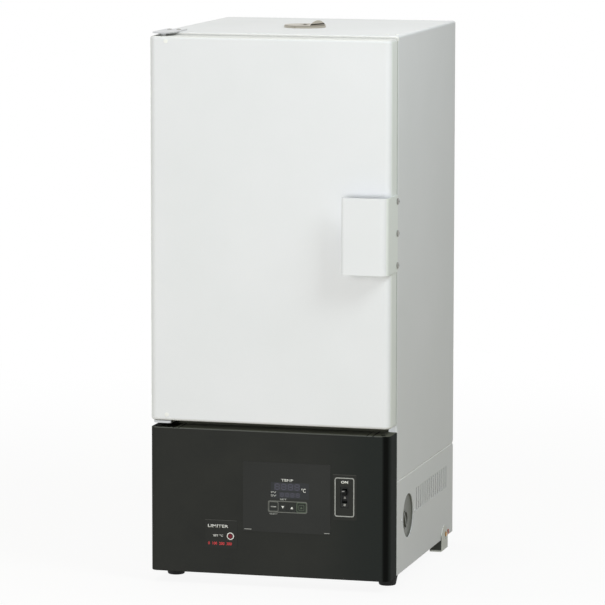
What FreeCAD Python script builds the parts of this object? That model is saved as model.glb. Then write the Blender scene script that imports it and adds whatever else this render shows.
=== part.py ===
import FreeCAD, Part
import math
import os

vec = FreeCAD.Vector

# Convection drying oven, millimetres.
# Work frame: x to the right from the middle plane, y to the rear from the door's front, z up from the floor.
# The finished pieces are moved so that the origin is the bottom centre of the whole outline.

# Cabinet
body_width = 410.0
body_height = 914.0
cabinet_depth = 420.0
casing_sheet = 1.5
casing_bend = 4.0
flange_width = 14.0
rear_sheet = 1.2
rear_inset = 1.0
ground_clearance = 20.0
seam_height = 178.0
seam_gap = 1.0
seam_relief = 3.0
seam_bend = 1.2
frame_sheet = 1.5
deck_rise = 0.8
pan_edge = 12.0
post_leg = 20.0
post_sheet = 2.0
post_inset = 22.0

# Door
door_depth = 38.5
door_gap = 9.5
door_drop = 3.9
door_corner = 11.0
door_edge = 4.5
door_sheet = 1.5
liner_sheet = 1.2
liner_raise = 6.0
liner_margin = 12.0
wool_gap = 0.5
gasket_width = 13.0
gasket_round = 4.0
gasket_margin = 12.0

# Hinges
hinge_inset = 19.0
hinge_setback = 22.0
hinge_space = 11.4
pin_radius = 4.0
pin_reach = 18.0
pin_clearance = 0.05
bush_radius = 7.0
bush_length = 24.0
block_size = 28.0
top_plate = 2.0
top_plate_radius = 18.5
top_plate_length = 96.0
bottom_plate = 4.0
bottom_plate_width = 32.0
bottom_flange = 3.0
bottom_flange_drop = 36.0
washer_radius = 8.0
washer_thickness = 1.0
hinge_screw_spread = 16.0
hinge_screw_setback = 60.0
hinge_flange_screw_drop = 18.0

# Handle
handle_width = 78.0
handle_height = 126.0
handle_reach = 32.0
handle_rise = 256.8
handle_sheet = 2.0
handle_bend = 14.0
handle_lip = 10.0
handle_lip_bend = 5.0
handle_overhang = 3.5
handle_screw_inset = 3.0
handle_screw_margin = 10.4
handle_screw_radius = 5.2
handle_screw_head = 3.5

# Chamber, given by the insulated walls round it
wall_side = 55.0
wall_rear = 100.8
wall_under = 73.0
wall_over = 69.0
chamber_sheet = 1.2
wool_side_gap = 2.5
pipe_well = 8.5
wool_rear = 60.0

# Shelves and their supports
rail_width = 16.0
rail_thickness = 4.0
rail_rise = 60.0
rail_drop = 10.0
rail_front = 50.0
rail_rear = 65.0
rail_slot_pitch = 30.0
rail_slot_width = 8.0
rail_slot_height = 5.0
clip_sheet = 2.0
clip_reach = 10.0
clip_drop = 12.0
lower_shelf_slot = 3
upper_shelf_slot = 9
shelf_clearance = 1.5
shelf_frame_radius = 2.5
shelf_wire_radius = 1.5
shelf_wire_count = 13
shelf_corner = 9.0
shelf_weld = 0.6
shelf_end_gap = 7.0

# Heater zone under the slotted baffle
heater_radius = 4.0
heater_height = 17.0
heater_leg_pitch = 70.0
heater_front = 64.0
heater_rear = 45.0
bushing_radius = 8.0
bushing_length = 14.0
baffle_height = 45.0
baffle_sheet = 1.2
baffle_margin = 6.5
baffle_slot_rows = 3
baffle_slot_columns = 9
baffle_slot_width = 9.0
baffle_slot_length = 62.0

# Sensors
sensor_radius = 2.5
sensor_inside = 30.0
sensor_outside = 22.0
sensor_drop = 45.0
sensor_spread = 26.0
sensor_nut = 7.0
sensor_nut_length = 4.0

# Exhaust
exhaust_setback = 180.0
port_radius = 15.0
port_wall = 1.2
port_flange = 24.0
collar_radius = 35.0
collar_height = 3.2
collar_sheet = 1.0
damper_sheet = 0.8
damper_radius = 34.5
damper_chord = 26.0
damper_lift = 0.3
tab_angle = -20.0
sector_inner = 4.0
sector_outer = 13.5
sector_angle = 76.0
damper_pin_radius = 3.0
damper_pin_head = 1.2
stop_pin_radius = 1.5
stop_pin_height = 2.6

# Intake dish on the right side
dish_setback = 82.7
dish_drop = 69.8
dish_radius = 37.0
dish_flange = 53.0
dish_rim_depth = 3.0
dish_depth = 6.0
dish_sheet = 1.0
intake_drop = 8.0
intake_radius = 15.3
intake_wall = 1.5
knob_clearance = 0.3
knob_recess = 4.5
knob_length = 12.0
knob_wall = 1.5
knob_bar = 5.0
knob_bar_angle = 60.0
knob_web = 1.5
riser_inset = 85.0
riser_sump = 24.0
dish_screw_margin = 5.3
dish_screw_radius = 2.6
dish_screw_head = 1.2

# Louvres
louvre_count = 15
louvre_pitch = 15.88
louvre_start = 143.0
louvre_width = 5.5
louvre_length = 39.5
louvre_drop = 32.5
rear_louvre_count = 8
rear_louvre_pitch = 14.0
rear_louvre_length = 90.0
rear_louvre_low = 50.0

# Control cover
cover_height = 242.3
cover_drop = 1.1
cover_wall = 2.0
cover_edge = 1.5
groove_inset = 40.0
groove_width = 1.6
groove_depth = 0.8
slot_inset = 17.0
slot_length = 11.0
slot_width = 5.0
slot_setback = 27.0
notch_inset = 10.0
notch_length = 7.0
notch_depth = 2.2
boss_radius = 3.5

# Operating panel
overlay_left = -45.0
overlay_right = 104.4
overlay_rise = 74.4
overlay_height = 116.7
overlay_sheet = 0.5
key_rise = 42.9
key_first = 7.6
key_pitch = 15.8
key_width = 12.6
key_height = 13.4
key_corner = 2.0
key_thickness = 2.2
key_rim = 0.7
key_clearance = 0.3
key_travel = 0.4
key_bay_margin = 2.4
window_left = 3.0
window_width = 65.0
window_rise = 14.3
window_height = 27.0
window_thickness = 2.0
board_setback = 9.0
board_sheet = 1.6
board_margin = 6.0

# Breaker with its toggle
breaker_rise = 63.9
breaker_window_width = 13.9
breaker_window_height = 34.7
breaker_width = 33.0
breaker_height = 70.0
breaker_depth = 40.0
breaker_face = 1.0
breaker_slot_width = 8.6
breaker_slot_height = 28.0
breaker_slot_depth = 20.0
lever_width = 7.4
lever_thickness = 6.5
lever_length = 27.0
lever_pivot = 14.0
lever_tilt = 26.0
trunnion_radius = 1.5
trunnion_reach = 1.4
switch_plate_width = 40.4
switch_plate_height = 75.8
switch_plate_gap = 3.8
plate_sheet = 0.4

# Overheat setting
limit_dial_inset = 11.9
limit_dial_rise = 21.5
limit_dial_radius = 3.5
limit_dial_front = 1.2
limit_shaft_length = 9.0
limit_body = 32.0
limit_body_depth = 18.0
limit_plate_gap = 9.8
limit_plate_rise = 42.6
limit_plate_width = 56.1
limit_plate_height = 48.0

# Electrical parts on the base
relay_width = 44.0
relay_length = 58.0
relay_height = 24.0
sink_fins = 7
sink_height = 40.0
sink_fin = 2.0
sink_base = 5.0
sink_x = -90.0
sink_y = 190.0
terminal_length = 80.0
terminal_width = 24.0
terminal_height = 22.0
terminal_ways = 4
gland_radius = 13.0
gland_bore = 5.5
gland_reach = 14.0
gland_cap = 5.6
gland_x = -120.0
gland_z = 70.0
gland_nut = 4.0

# Feet
foot_inset = 22.0
foot_setback = 28.0
foot_top_radius = 18.0
foot_bottom_radius = 14.0
foot_edge = 2.0
bracket_setback = 92.0
bracket_width = 48.0
bracket_height = 42.0
bracket_sheet = 1.5
bracket_sole = 21.0
bracket_slot_width = 7.0
bracket_slot_drop = 6.5
bracket_slot_rise = 1.0
bracket_screw_inset = 16.3
bracket_screw_height = 26.5
earth_screw_gap = 6.0
foot_screw_radius = 4.2
foot_screw_head = 2.0

# Fasteners and running clearances
screw_shank = 1.9
hole_clearance = 0.2
seat_gap = 0.3
plug_radius = 3.5
plug_raise = 0.6
plug_depth = 3.0
door_plug_inset = 8.0
catch_length = 46.0
catch_gap = 1.0

# Levels and planes that follow from the sizes above
half = body_width / 2
front_plane = door_depth + door_gap
rear_plane = front_plane + cabinet_depth
casing_rear = rear_plane - rear_sheet
inner_half = half - casing_sheet
cover_bottom = ground_clearance - cover_drop
cover_top = cover_bottom + cover_height
door_bottom = cover_top + hinge_space
door_top = body_height - door_drop
upper_bottom = seam_height + seam_gap / 2
lower_top = seam_height - seam_gap / 2
frame_joint = cover_top + deck_rise
frame_front = front_plane + casing_sheet
frame_back = frame_front + frame_sheet
frame_half = half - casing_bend
base_top = ground_clearance + 2 * casing_sheet
chamber_half = half - wall_side
chamber_floor = frame_joint + wall_under
chamber_top = body_height - wall_over
chamber_rear = casing_rear - wall_rear
rail_bottom = chamber_floor + rail_rise
rail_top = chamber_top - rail_drop
sensor_z = chamber_top - sensor_drop
hinge_x = -half + hinge_inset
hinge_y = hinge_setback
bracket_top = door_bottom - washer_thickness - seat_gap
handle_bottom = door_bottom + handle_rise
handle_back = door_depth + handle_overhang
handle_screw_line = door_depth - handle_screw_inset
exhaust_y = front_plane + exhaust_setback
riser_x = half - riser_inset
dish_y = front_plane + dish_setback
dish_height = seam_height - dish_drop
dish_screw_spread = dish_flange - dish_screw_margin
intake_z = dish_height - intake_drop
louvre_high = seam_height - louvre_drop
louvre_low = louvre_high - louvre_length
overlay_low = cover_bottom + overlay_rise
overlay_high = overlay_low + overlay_height
key_line = overlay_low + key_rise
window_right = window_left + window_width
window_low = key_line + window_rise
window_high = window_low + window_height
breaker_x = overlay_right + switch_plate_gap + switch_plate_width / 2
breaker_z = overlay_low + breaker_rise
limit_plate_right = overlay_left - limit_plate_gap
limit_plate_left = limit_plate_right - limit_plate_width
limit_plate_low = cover_bottom + limit_plate_rise
limit_plate_high = limit_plate_low + limit_plate_height
limit_x = limit_plate_right - limit_dial_inset
limit_z = limit_plate_low + limit_dial_rise
catch_left = chamber_half + gasket_margin + gasket_width + catch_gap
catch_right = half - flange_width - catch_gap
foot_x = half - foot_inset
foot_y = front_plane + foot_setback
foot_back = rear_plane - bracket_setback
side_reach = handle_sheet + handle_screw_head
to_origin = vec((bracket_sheet + foot_screw_head - side_reach) / 2,
                (handle_reach - rear_plane - gland_reach) / 2, 0)


# Shape helpers
def box(x0, x1, y0, y1, z0, z1):
    return Part.makeBox(x1 - x0, y1 - y0, z1 - z0, vec(x0, y0, z0))


def centred_box(cx, cy, cz, dx, dy, dz):
    return box(cx - dx / 2, cx + dx / 2, cy - dy / 2, cy + dy / 2, cz - dz / 2, cz + dz / 2)


def rod(start, axis, radius, length):
    return Part.makeCylinder(radius, length, start, axis)


def cut_all(shape, tools):
    return shape.cut(Part.makeCompound(tools)) if tools else shape


def fuse_all(shapes):
    return shapes[0].multiFuse(shapes[1:]).removeSplitter()


def lies_at(edge, x=None, y=None, z=None):
    """True where the whole edge stays at the given coordinates."""
    b = edge.BoundBox
    spans = ((x, b.XMin, b.XMax), (y, b.YMin, b.YMax), (z, b.ZMin, b.ZMax))
    return all(v is None or (abs(lo - v) < 1e-3 and abs(hi - v) < 1e-3) for v, lo, hi in spans)


def rounded(shape, radius, pick):
    return shape.makeFillet(radius, [e for e in shape.Edges if pick(e)])


def front_block(x0, x1, y0, y1, z0, z1, corner, edge):
    """Block with rounded upright front corners and a softer edge round its top and bottom."""
    block = rounded(box(x0, x1, y0, y1, z0, z1), corner,
                    lambda e: lies_at(e, x=x0, y=y0) or lies_at(e, x=x1, y=y0))
    if not edge:
        return block
    return rounded(block, edge,
                   lambda e: (lies_at(e, z=z0) or lies_at(e, z=z1)) and not lies_at(e, y=y1))


def slab(x0, x1, y0, y1, z0, z1, corner):
    """Thin plate in the x-z plane with rounded corners."""
    return rounded(box(x0, x1, y0, y1, z0, z1), corner,
                   lambda e: any(lies_at(e, x=a, z=b) for a in (x0, x1) for b in (z0, z1)))


def obround_x(x0, x1, cy, z0, z1, width):
    """Upright slot with round ends, cut along x."""
    r = width / 2
    return fuse_all([box(x0, x1, cy - r, cy + r, z0 + r, z1 - r),
                     rod(vec(x0, cy, z0 + r), vec(1, 0, 0), r, x1 - x0),
                     rod(vec(x0, cy, z1 - r), vec(1, 0, 0), r, x1 - x0)])


def mirrored(shape):
    return shape.mirror(vec(0, 0, 0), vec(1, 0, 0))


def bent_rod(points, bend, radius):
    """Round rod along straight runs joined by tangent quarter or half turns."""
    edges = []
    at = points[0]
    for before, corner, after in zip(points, points[1:], points[2:]):
        u = (corner - before).normalize()
        w = (after - corner).normalize()
        start = corner - u * bend
        end = corner + w * bend
        mid = corner + (w - u) * bend * (1 - math.sqrt(0.5))
        edges.append(Part.LineSegment(at, start).toShape())
        edges.append(Part.Arc(start, mid, end).toShape())
        at = end
    edges.append(Part.LineSegment(at, points[-1]).toShape())
    direction = (points[1] - points[0]).normalize()
    profile = Part.Wire(Part.makeCircle(radius, points[0], direction))
    return Part.Wire(edges).makePipeShell([profile], True, True)


def pan_screw(at, axis, head_radius, head, shank_length):
    """Pan head standing off the surface at a point, with its shank going in."""
    dome = rod(at, axis, head_radius, head)
    rim = [e for e in dome.Edges if abs((e.BoundBox.Center - at) * axis - head) < 1e-3]
    dome = dome.makeFillet(head * 0.45, rim)
    return dome.fuse(rod(at, axis * -1, screw_shank, shank_length)).removeSplitter()


def sector_holes(z0, z1, turn):
    """Two opposite ring sectors, the air ports of a turning damper."""
    holes = []
    for side in (0, 180):
        start = side + turn - sector_angle / 2
        wedge = Part.makeCylinder(sector_outer, z1 - z0, vec(0, 0, z0), vec(0, 0, 1), sector_angle)
        wedge.rotate(vec(0, 0, 0), vec(0, 0, 1), start)
        holes.append(wedge.cut(rod(vec(0, 0, z0), vec(0, 0, 1), sector_inner, z1 - z0)))
    return holes


def export(name, shape):
    shape = shape.copy()
    shape.translate(to_origin)
    shape.exportStep("parts/" + name + ".step")


# Sheet-metal cabinet
def casing_block(inset, bottom, rear):
    """Outline of the upper casing, or of its inside when inset."""
    x = half - inset
    y = front_plane + inset
    z = body_height - inset
    block = box(-x, x, y, rear, bottom, z)
    return rounded(block, casing_bend - inset,
                   lambda e: (any(lies_at(e, x=a, y=y) for a in (-x, x)) or lies_at(e, y=y, z=z)
                              or any(lies_at(e, x=a, z=z) for a in (-x, x))))


def upper_casing():
    shell = casing_block(0, upper_bottom, casing_rear)
    shell = shell.cut(casing_block(casing_sheet, upper_bottom - 1, casing_rear + 1))
    window = half - flange_width
    shell = shell.cut(box(-window, window, front_plane - 1, frame_front + 1,
                          upper_bottom - 1, body_height - flange_width))
    rear = box(-inner_half, inner_half, casing_rear - casing_sheet, casing_rear,
               upper_bottom, body_height - casing_sheet)
    rear = rear.cut(box(-window, window, casing_rear - casing_sheet, casing_rear,
                        upper_bottom - 1, body_height - flange_width))
    parts = [shell, rear]
    for side in (-1, 1):
        edge = box(inner_half - flange_width, inner_half, frame_front + casing_bend, casing_rear,
                   upper_bottom, upper_bottom + casing_sheet)
        parts.append(edge if side > 0 else mirrored(edge))
    casing = rounded(fuse_all(parts), seam_bend,
                     lambda e: any(lies_at(e, x=a, z=upper_bottom) for a in (-half, half)))
    up = vec(0, 0, 1)
    top = body_height - casing_sheet - 1
    tools = [rod(vec(0, exhaust_y, top), up, port_radius + port_wall + hole_clearance, casing_sheet + 2)]
    for x in (-half + hinge_inset, half - hinge_inset):
        for spread in (-1, 1):
            at = vec(x + spread * hinge_screw_spread / 2, hinge_y + hinge_screw_setback, top)
            tools.append(rod(at, up, screw_shank + hole_clearance, casing_sheet + 2))
    for side in (-1, 1):
        relief = box(half - seam_relief, half + 1, casing_rear - seam_relief, casing_rear + 1,
                     upper_bottom - 1, upper_bottom + seam_relief)
        tools.append(relief if side > 0 else mirrored(relief))
    return cut_all(casing, tools)


def side_pan():
    """Right lower side: a pan with a flange on each of its four edges and the cooling louvres."""
    x0 = half - flange_width
    block = rounded(box(x0, half, front_plane, casing_rear, ground_clearance, lower_top), casing_bend,
                    lambda e: lies_at(e, x=half, y=front_plane))
    block = rounded(block, seam_bend,
                    lambda e: lies_at(e, x=half, z=lower_top) or lies_at(e, x=half, z=ground_clearance))
    hollow = rounded(box(x0 - 1, inner_half, frame_front, casing_rear - casing_sheet,
                         ground_clearance + casing_sheet, lower_top - casing_sheet),
                     casing_bend - casing_sheet, lambda e: lies_at(e, x=inner_half, y=frame_front))
    tools = []
    for i in range(louvre_count):
        y = front_plane + louvre_start + i * louvre_pitch
        tools.append(obround_x(inner_half - 1, half + 1, y, louvre_low, louvre_high, louvre_width))
    for y in foot_screw_setbacks():
        tools.append(rod(vec(inner_half - 1, y, bracket_screw_height), vec(1, 0, 0),
                         screw_shank + hole_clearance, casing_sheet + 2))
    relief = box(half - seam_relief, half + 1, casing_rear - seam_relief, casing_rear + 1,
                 lower_top - seam_relief, lower_top + 1)
    tools.append(relief)
    return cut_all(block.cut(hollow), tools)


def lower_side_left():
    return mirrored(side_pan())


def lower_side_right():
    out = vec(1, 0, 0)
    tools = [rod(vec(inner_half - 1, dish_y, dish_height), out, dish_radius, casing_sheet + 2)]
    for side in (-1, 1):
        at = vec(inner_half - 1, dish_y + side * dish_screw_spread, dish_height)
        tools.append(rod(at, out, screw_shank + hole_clearance, casing_sheet + 2))
    return cut_all(side_pan(), tools)


def rear_upper_panel():
    x = half - rear_inset
    return slab(-x, x, casing_rear, rear_plane, upper_bottom, body_height - rear_inset, casing_bend)


def rear_lower_panel():
    x = half - rear_inset
    panel = slab(-x, x, casing_rear, rear_plane, ground_clearance, lower_top, casing_bend)
    tools = [rod(vec(gland_x, casing_rear - 1, gland_z), vec(0, 1, 0),
                 gland_radius * 0.7 + hole_clearance, rear_sheet + 2)]
    for i in range(rear_louvre_count):
        z = rear_louvre_low + i * rear_louvre_pitch
        tools.append(box(-rear_louvre_length / 2, rear_louvre_length / 2, casing_rear - 1, rear_plane + 1,
                         z, z + louvre_width))
    return cut_all(panel, tools)


def base_pan():
    """Tray between the lower sides, open at the front where the carrier plate stands."""
    x = frame_half
    y1 = casing_rear - casing_sheet
    z = ground_clearance + casing_sheet
    pan = box(-x, x, frame_back, y1, z, z + pan_edge)
    return pan.cut(box(-x + casing_sheet, x - casing_sheet, frame_back - 1, y1 - casing_sheet,
                       base_top, z + pan_edge + 1))


def lower_frame():
    """Welded frame under the chamber: four upright angles and a carrier plate behind the cover."""
    x1 = inner_half - flange_width - hole_clearance
    y_front = frame_back
    y_rear = casing_rear - post_inset
    posts = []
    for y, turn in ((y_front, 1), (y_rear, -1)):
        outer = box(x1 - post_leg, x1, min(y, y + turn * post_leg), max(y, y + turn * post_leg),
                    base_top, frame_joint)
        inner_y = y + turn * post_sheet
        inner_end = y + turn * (post_leg + 1)
        inner = box(x1 - post_leg - 1, x1 - post_sheet, min(inner_y, inner_end), max(inner_y, inner_end),
                    base_top - 1, frame_joint + 1)
        post = outer.cut(inner)
        posts += [post, mirrored(post)]
    x = frame_half
    z0 = ground_clearance + casing_sheet
    window = x - post_inset - post_leg
    plate = box(-x, x, frame_front, frame_back, z0, frame_joint)
    notch = box(half - flange_width - hole_clearance, half, frame_front - 1, frame_back + 1,
                lower_top - casing_sheet - hole_clearance, lower_top + hole_clearance)
    plate = cut_all(plate, [notch, mirrored(notch),
                            box(-window, window, frame_front - 1, frame_back + 1, z0 + post_leg,
                                frame_joint - bottom_flange_drop)])
    return fuse_all([plate] + posts)


def deck():
    """Plate under the insulated chamber, slotted from its right edge so that the riser can be slid in."""
    plate = box(-frame_half, frame_half, frame_back, casing_rear - casing_sheet - post_sheet,
                frame_joint, frame_joint + frame_sheet)
    reach = intake_radius + intake_wall + seat_gap
    return plate.cut(box(riser_x - reach, frame_half + 1, dish_y - reach, dish_y + reach,
                         frame_joint - 1, frame_joint + frame_sheet + 1))


def front_frame():
    """Stainless face that joins the casing to the chamber mouth."""
    plate = box(-frame_half, frame_half, frame_front, frame_back, frame_joint, body_height - casing_bend)
    plate = plate.cut(box(-chamber_half, chamber_half, frame_front - 1, frame_back + 1,
                          chamber_floor, chamber_top))
    return plate


# Chamber and insulation
def inner_chamber():
    t = chamber_sheet
    shell = box(-chamber_half - t, chamber_half + t, frame_back, chamber_rear + t,
                chamber_floor - t, chamber_top + t)
    shell = shell.cut(box(-chamber_half, chamber_half, frame_back - 1, chamber_rear,
                          chamber_floor, chamber_top))
    return cut_all(shell, chamber_passages(0))


def chamber_passages(extra):
    """Holes for the exhaust pipe, the intake riser, the heater ends and the two sensors."""
    up = vec(0, 0, 1)
    back = vec(0, 1, 0)
    reach = wool_rear + 4
    r = port_radius + port_wall + hole_clearance + extra
    tools = [rod(vec(0, exhaust_y, chamber_top - 1), up, r, body_height - chamber_top + 2),
             rod(vec(riser_x, dish_y, frame_joint), up,
                 intake_radius + intake_wall + hole_clearance + extra, chamber_floor - frame_joint + 1)]
    for x in (-heater_end_x(), heater_end_x()):
        tools.append(rod(vec(x, chamber_rear - 1, chamber_floor + heater_height), back,
                         bushing_radius + hole_clearance + extra, reach))
    for x in (-sensor_spread / 2, sensor_spread / 2):
        tools.append(rod(vec(x, chamber_rear - 1, sensor_z), back,
                         sensor_radius + hole_clearance + extra, reach))
    return tools


def batts_round(x, y0, y1, z0, z1, cx, cy, reach):
    """Four batts of one layer, butted round a square well for a pipe."""
    return [box(-x, cx - reach, y0, y1, z0, z1),
            box(cx + reach, x, y0, y1, z0, z1),
            box(cx - reach, cx + reach, y0, cy - reach, z0, z1),
            box(cx - reach, cx + reach, cy + reach, y1, z0, z1)]


def insulation():
    """Wool batts under, over, beside and behind the chamber, cut round all that passes through."""
    x = inner_half - wool_side_gap
    w = chamber_half + chamber_sheet
    y1 = chamber_rear + chamber_sheet
    low = frame_joint + frame_sheet
    under = chamber_floor - chamber_sheet
    over = chamber_top + chamber_sheet
    high = body_height - casing_sheet - wool_side_gap
    side = box(w, x, frame_back, y1, under, over)
    rear = cut_all(box(-x, x, y1, y1 + wool_rear, low, high), chamber_passages(sensor_nut))
    batts = [side, mirrored(side), rear]
    batts += batts_round(x, frame_back, y1, low, under, riser_x, dish_y, intake_radius + pipe_well)
    batts += batts_round(x, frame_back, y1, over, high, 0, exhaust_y, port_radius + pipe_well)
    return Part.makeCompound(batts)


def shelf_level(slot):
    return rail_bottom + (slot + 0.5) * rail_slot_pitch


def rail_centres():
    return [frame_back + rail_front, chamber_rear - rail_rear]


def shelf_rails():
    rails = []
    count = int((rail_top - rail_bottom) / rail_slot_pitch)
    for y in rail_centres():
        rail = box(chamber_half - rail_thickness, chamber_half, y - rail_width / 2, y + rail_width / 2,
                   rail_bottom, rail_top)
        slots = []
        for i in range(count):
            z = shelf_level(i)
            slots.append(box(chamber_half - rail_thickness - 1, chamber_half - 1,
                             y - rail_slot_width / 2, y + rail_slot_width / 2,
                             z - rail_slot_height, z))
        rail = cut_all(rail, slots)
        rails += [rail, mirrored(rail)]
    return Part.makeCompound(rails)


def shelf_clips():
    """Clips hooked into the rail slots, one at each corner of each shelf."""
    clips = []
    rail_face = chamber_half - rail_thickness
    width = rail_slot_width - 2 * hole_clearance
    for slot in (lower_shelf_slot, upper_shelf_slot):
        top = shelf_level(slot) - rail_slot_height + clip_sheet
        for y in rail_centres():
            tongue = box(rail_face - clip_reach, chamber_half - 1.2, y - width / 2, y + width / 2,
                         top - clip_sheet, top)
            brace = box(rail_face - clip_sheet, rail_face, y - width / 2, y + width / 2,
                        top - clip_sheet - clip_drop, top)
            clip = fuse_all([tongue, brace])
            clips += [clip, mirrored(clip)]
    return Part.makeCompound(clips)


def wire_shelf(slot):
    """Round-wire shelf: a frame with rounded corners and the welded front-to-back wires."""
    r = shelf_frame_radius
    x = chamber_half - rail_thickness - shelf_clearance - r
    y0 = frame_back + shelf_end_gap + r
    y1 = chamber_rear - shelf_end_gap - r
    z = shelf_level(slot) - rail_slot_height + clip_sheet + r
    ym = (y0 + y1) / 2
    path = [vec(-x, ym, z), vec(-x, y0, z), vec(x, y0, z), vec(x, y1, z), vec(-x, y1, z), vec(-x, ym, z)]
    parts = [bent_rod(path, shelf_corner, r)]
    zw = z + r + shelf_wire_radius - shelf_weld
    pitch = 2 * (x - shelf_corner) / (shelf_wire_count - 1)
    for i in range(shelf_wire_count):
        xw = -x + shelf_corner + i * pitch
        parts.append(rod(vec(xw, y0 - r / 2, zw), vec(0, 1, 0), shelf_wire_radius, y1 - y0 + r))
    return fuse_all(parts)


def heater_end_x():
    return 1.5 * heater_leg_pitch


def heater():
    """Sheathed element bent into four legs, its ends through the chamber's rear wall."""
    z = chamber_floor + heater_height
    bend = heater_leg_pitch / 2 - 0.01
    front = frame_back + heater_front
    turn = chamber_rear - heater_rear
    end = chamber_rear + bushing_length + 6
    x = heater_end_x()
    inner = heater_leg_pitch / 2
    path = [vec(-x, end, z), vec(-x, front, z), vec(-inner, front, z), vec(-inner, turn, z),
            vec(inner, turn, z), vec(inner, front, z), vec(x, front, z), vec(x, end, z)]
    return bent_rod(path, bend, heater_radius)


def heater_bushings():
    parts = []
    back = vec(0, 1, 0)
    for x in (-heater_end_x(), heater_end_x()):
        at = vec(x, chamber_rear, chamber_floor + heater_height)
        bush = rod(at, back, bushing_radius, bushing_length)
        collar = rod(at + back * (chamber_sheet + hole_clearance), back, bushing_radius + 3, 3)
        parts.append(fuse_all([bush, collar]).cut(rod(at - back, back, heater_radius + 0.05,
                                                      bushing_length + 2)))
    return Part.makeCompound(parts)


def heater_baffle():
    """Slotted stainless plate on two side legs, over the heater."""
    x = chamber_half - baffle_margin
    y0 = frame_back + baffle_margin
    y1 = chamber_rear - baffle_margin
    z1 = chamber_floor + baffle_height
    plate = box(-x, x, y0, y1, z1 - baffle_sheet, z1)
    leg = box(x - baffle_sheet, x, y0, y1, chamber_floor, z1)
    tools = []
    row_pitch = (y1 - y0) / baffle_slot_rows
    column_pitch = 2 * x / baffle_slot_columns
    for row in range(baffle_slot_rows):
        cy = y0 + (row + 0.5) * row_pitch
        for column in range(baffle_slot_columns):
            cx = -x + (column + 0.5) * column_pitch
            tools.append(centred_box(cx, cy, z1, baffle_slot_width, baffle_slot_length, 4 * baffle_sheet))
    return cut_all(fuse_all([plate, leg, mirrored(leg)]), tools)


def sensors():
    """Control and limit probes through the rear wall, each with its clamping nut behind it."""
    back = vec(0, 1, 0)
    probes = []
    for x in (-sensor_spread / 2, sensor_spread / 2):
        at = vec(x, chamber_rear - sensor_inside, sensor_z)
        probe = rod(at, back, sensor_radius, sensor_inside + sensor_outside)
        probe = probe.makeFillet(sensor_radius * 0.6, [e for e in probe.Edges if lies_at(e, y=at.y)])
        nut = rod(vec(x, chamber_rear + chamber_sheet, at.z), back, sensor_nut - 1, sensor_nut_length)
        probes.append(fuse_all([probe, nut]))
    return Part.makeCompound(probes)


# Exhaust port on the top
def exhaust_pipe():
    up = vec(0, 0, 1)
    base = chamber_top - port_wall
    tube = rod(vec(0, exhaust_y, base), up, port_radius + port_wall, body_height - base)
    flange = rod(vec(0, exhaust_y, base), up, port_flange, port_wall)
    return fuse_all([tube, flange]).cut(rod(vec(0, exhaust_y, base - 1), up, port_radius,
                                            body_height - base + 2))


def exhaust_collar():
    up = vec(0, 0, 1)
    body = rod(vec(0, 0, body_height), up, collar_radius, collar_height)
    hollow = rod(vec(0, 0, body_height - 1), up, collar_radius - collar_sheet,
                 collar_height - collar_sheet + 1)
    top = body_height + collar_height
    tools = [hollow] + sector_holes(top - collar_sheet - 1, top + 1, 0)
    tools.append(rod(vec(0, 0, top - 2), up, damper_pin_radius / 2 + pin_clearance, 3))
    turn = math.radians(tab_angle - 88)
    r = collar_radius + stop_pin_radius / 2
    stop = rod(vec(r * math.cos(turn), r * math.sin(turn), body_height), up, stop_pin_radius, stop_pin_height)
    collar = fuse_all([body, stop]).cut(Part.makeCompound(tools))
    collar.translate(vec(0, exhaust_y, 0))
    return collar


def damper_outline():
    """Disc segment left after the finger tab is bent up along its chord, tab towards +x."""
    reach = math.sqrt(damper_radius ** 2 - damper_chord ** 2)
    arc = Part.Arc(vec(damper_chord, reach, 0), vec(-damper_radius, 0, 0), vec(damper_chord, -reach, 0))
    line = Part.LineSegment(vec(damper_chord, -reach, 0), vec(damper_chord, reach, 0))
    return Part.Face(Part.Wire([arc.toShape(), line.toShape()]))


def tab_outline():
    """The bent-up segment, standing on the chord."""
    reach = math.sqrt(damper_radius ** 2 - damper_chord ** 2)
    peak = damper_radius - damper_chord
    x = damper_chord - damper_sheet
    arc = Part.Arc(vec(x, -reach, 0), vec(x, 0, peak), vec(x, reach, 0))
    line = Part.LineSegment(vec(x, reach, 0), vec(x, -reach, 0))
    return Part.Face(Part.Wire([arc.toShape(), line.toShape()]))


def exhaust_damper():
    z = body_height + collar_height + damper_lift
    disc = damper_outline().extrude(vec(0, 0, damper_sheet))
    tab = tab_outline().extrude(vec(damper_sheet, 0, 0))
    tab.translate(vec(0, 0, damper_sheet / 2))
    damper = fuse_all([disc, tab])
    tools = sector_holes(-1, damper_sheet + 1, 90 - tab_angle)
    tools.append(rod(vec(0, 0, -1), vec(0, 0, 1), damper_pin_radius / 2 + pin_clearance, damper_sheet + 2))
    damper = cut_all(damper, tools)
    damper.rotate(vec(0, 0, 0), vec(0, 0, 1), tab_angle)
    damper.translate(vec(0, exhaust_y, z))
    return damper


def exhaust_pin():
    """Shouldered screw that the damper turns on, seated in the collar."""
    up = vec(0, 0, 1)
    top = body_height + collar_height + damper_lift + damper_sheet + damper_lift
    base = vec(0, exhaust_y, body_height + collar_height - collar_sheet)
    head = rod(vec(0, exhaust_y, top), up, damper_pin_radius, damper_pin_head)
    return fuse_all([head, rod(base, up, damper_pin_radius / 2, top - base.z)])


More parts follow.
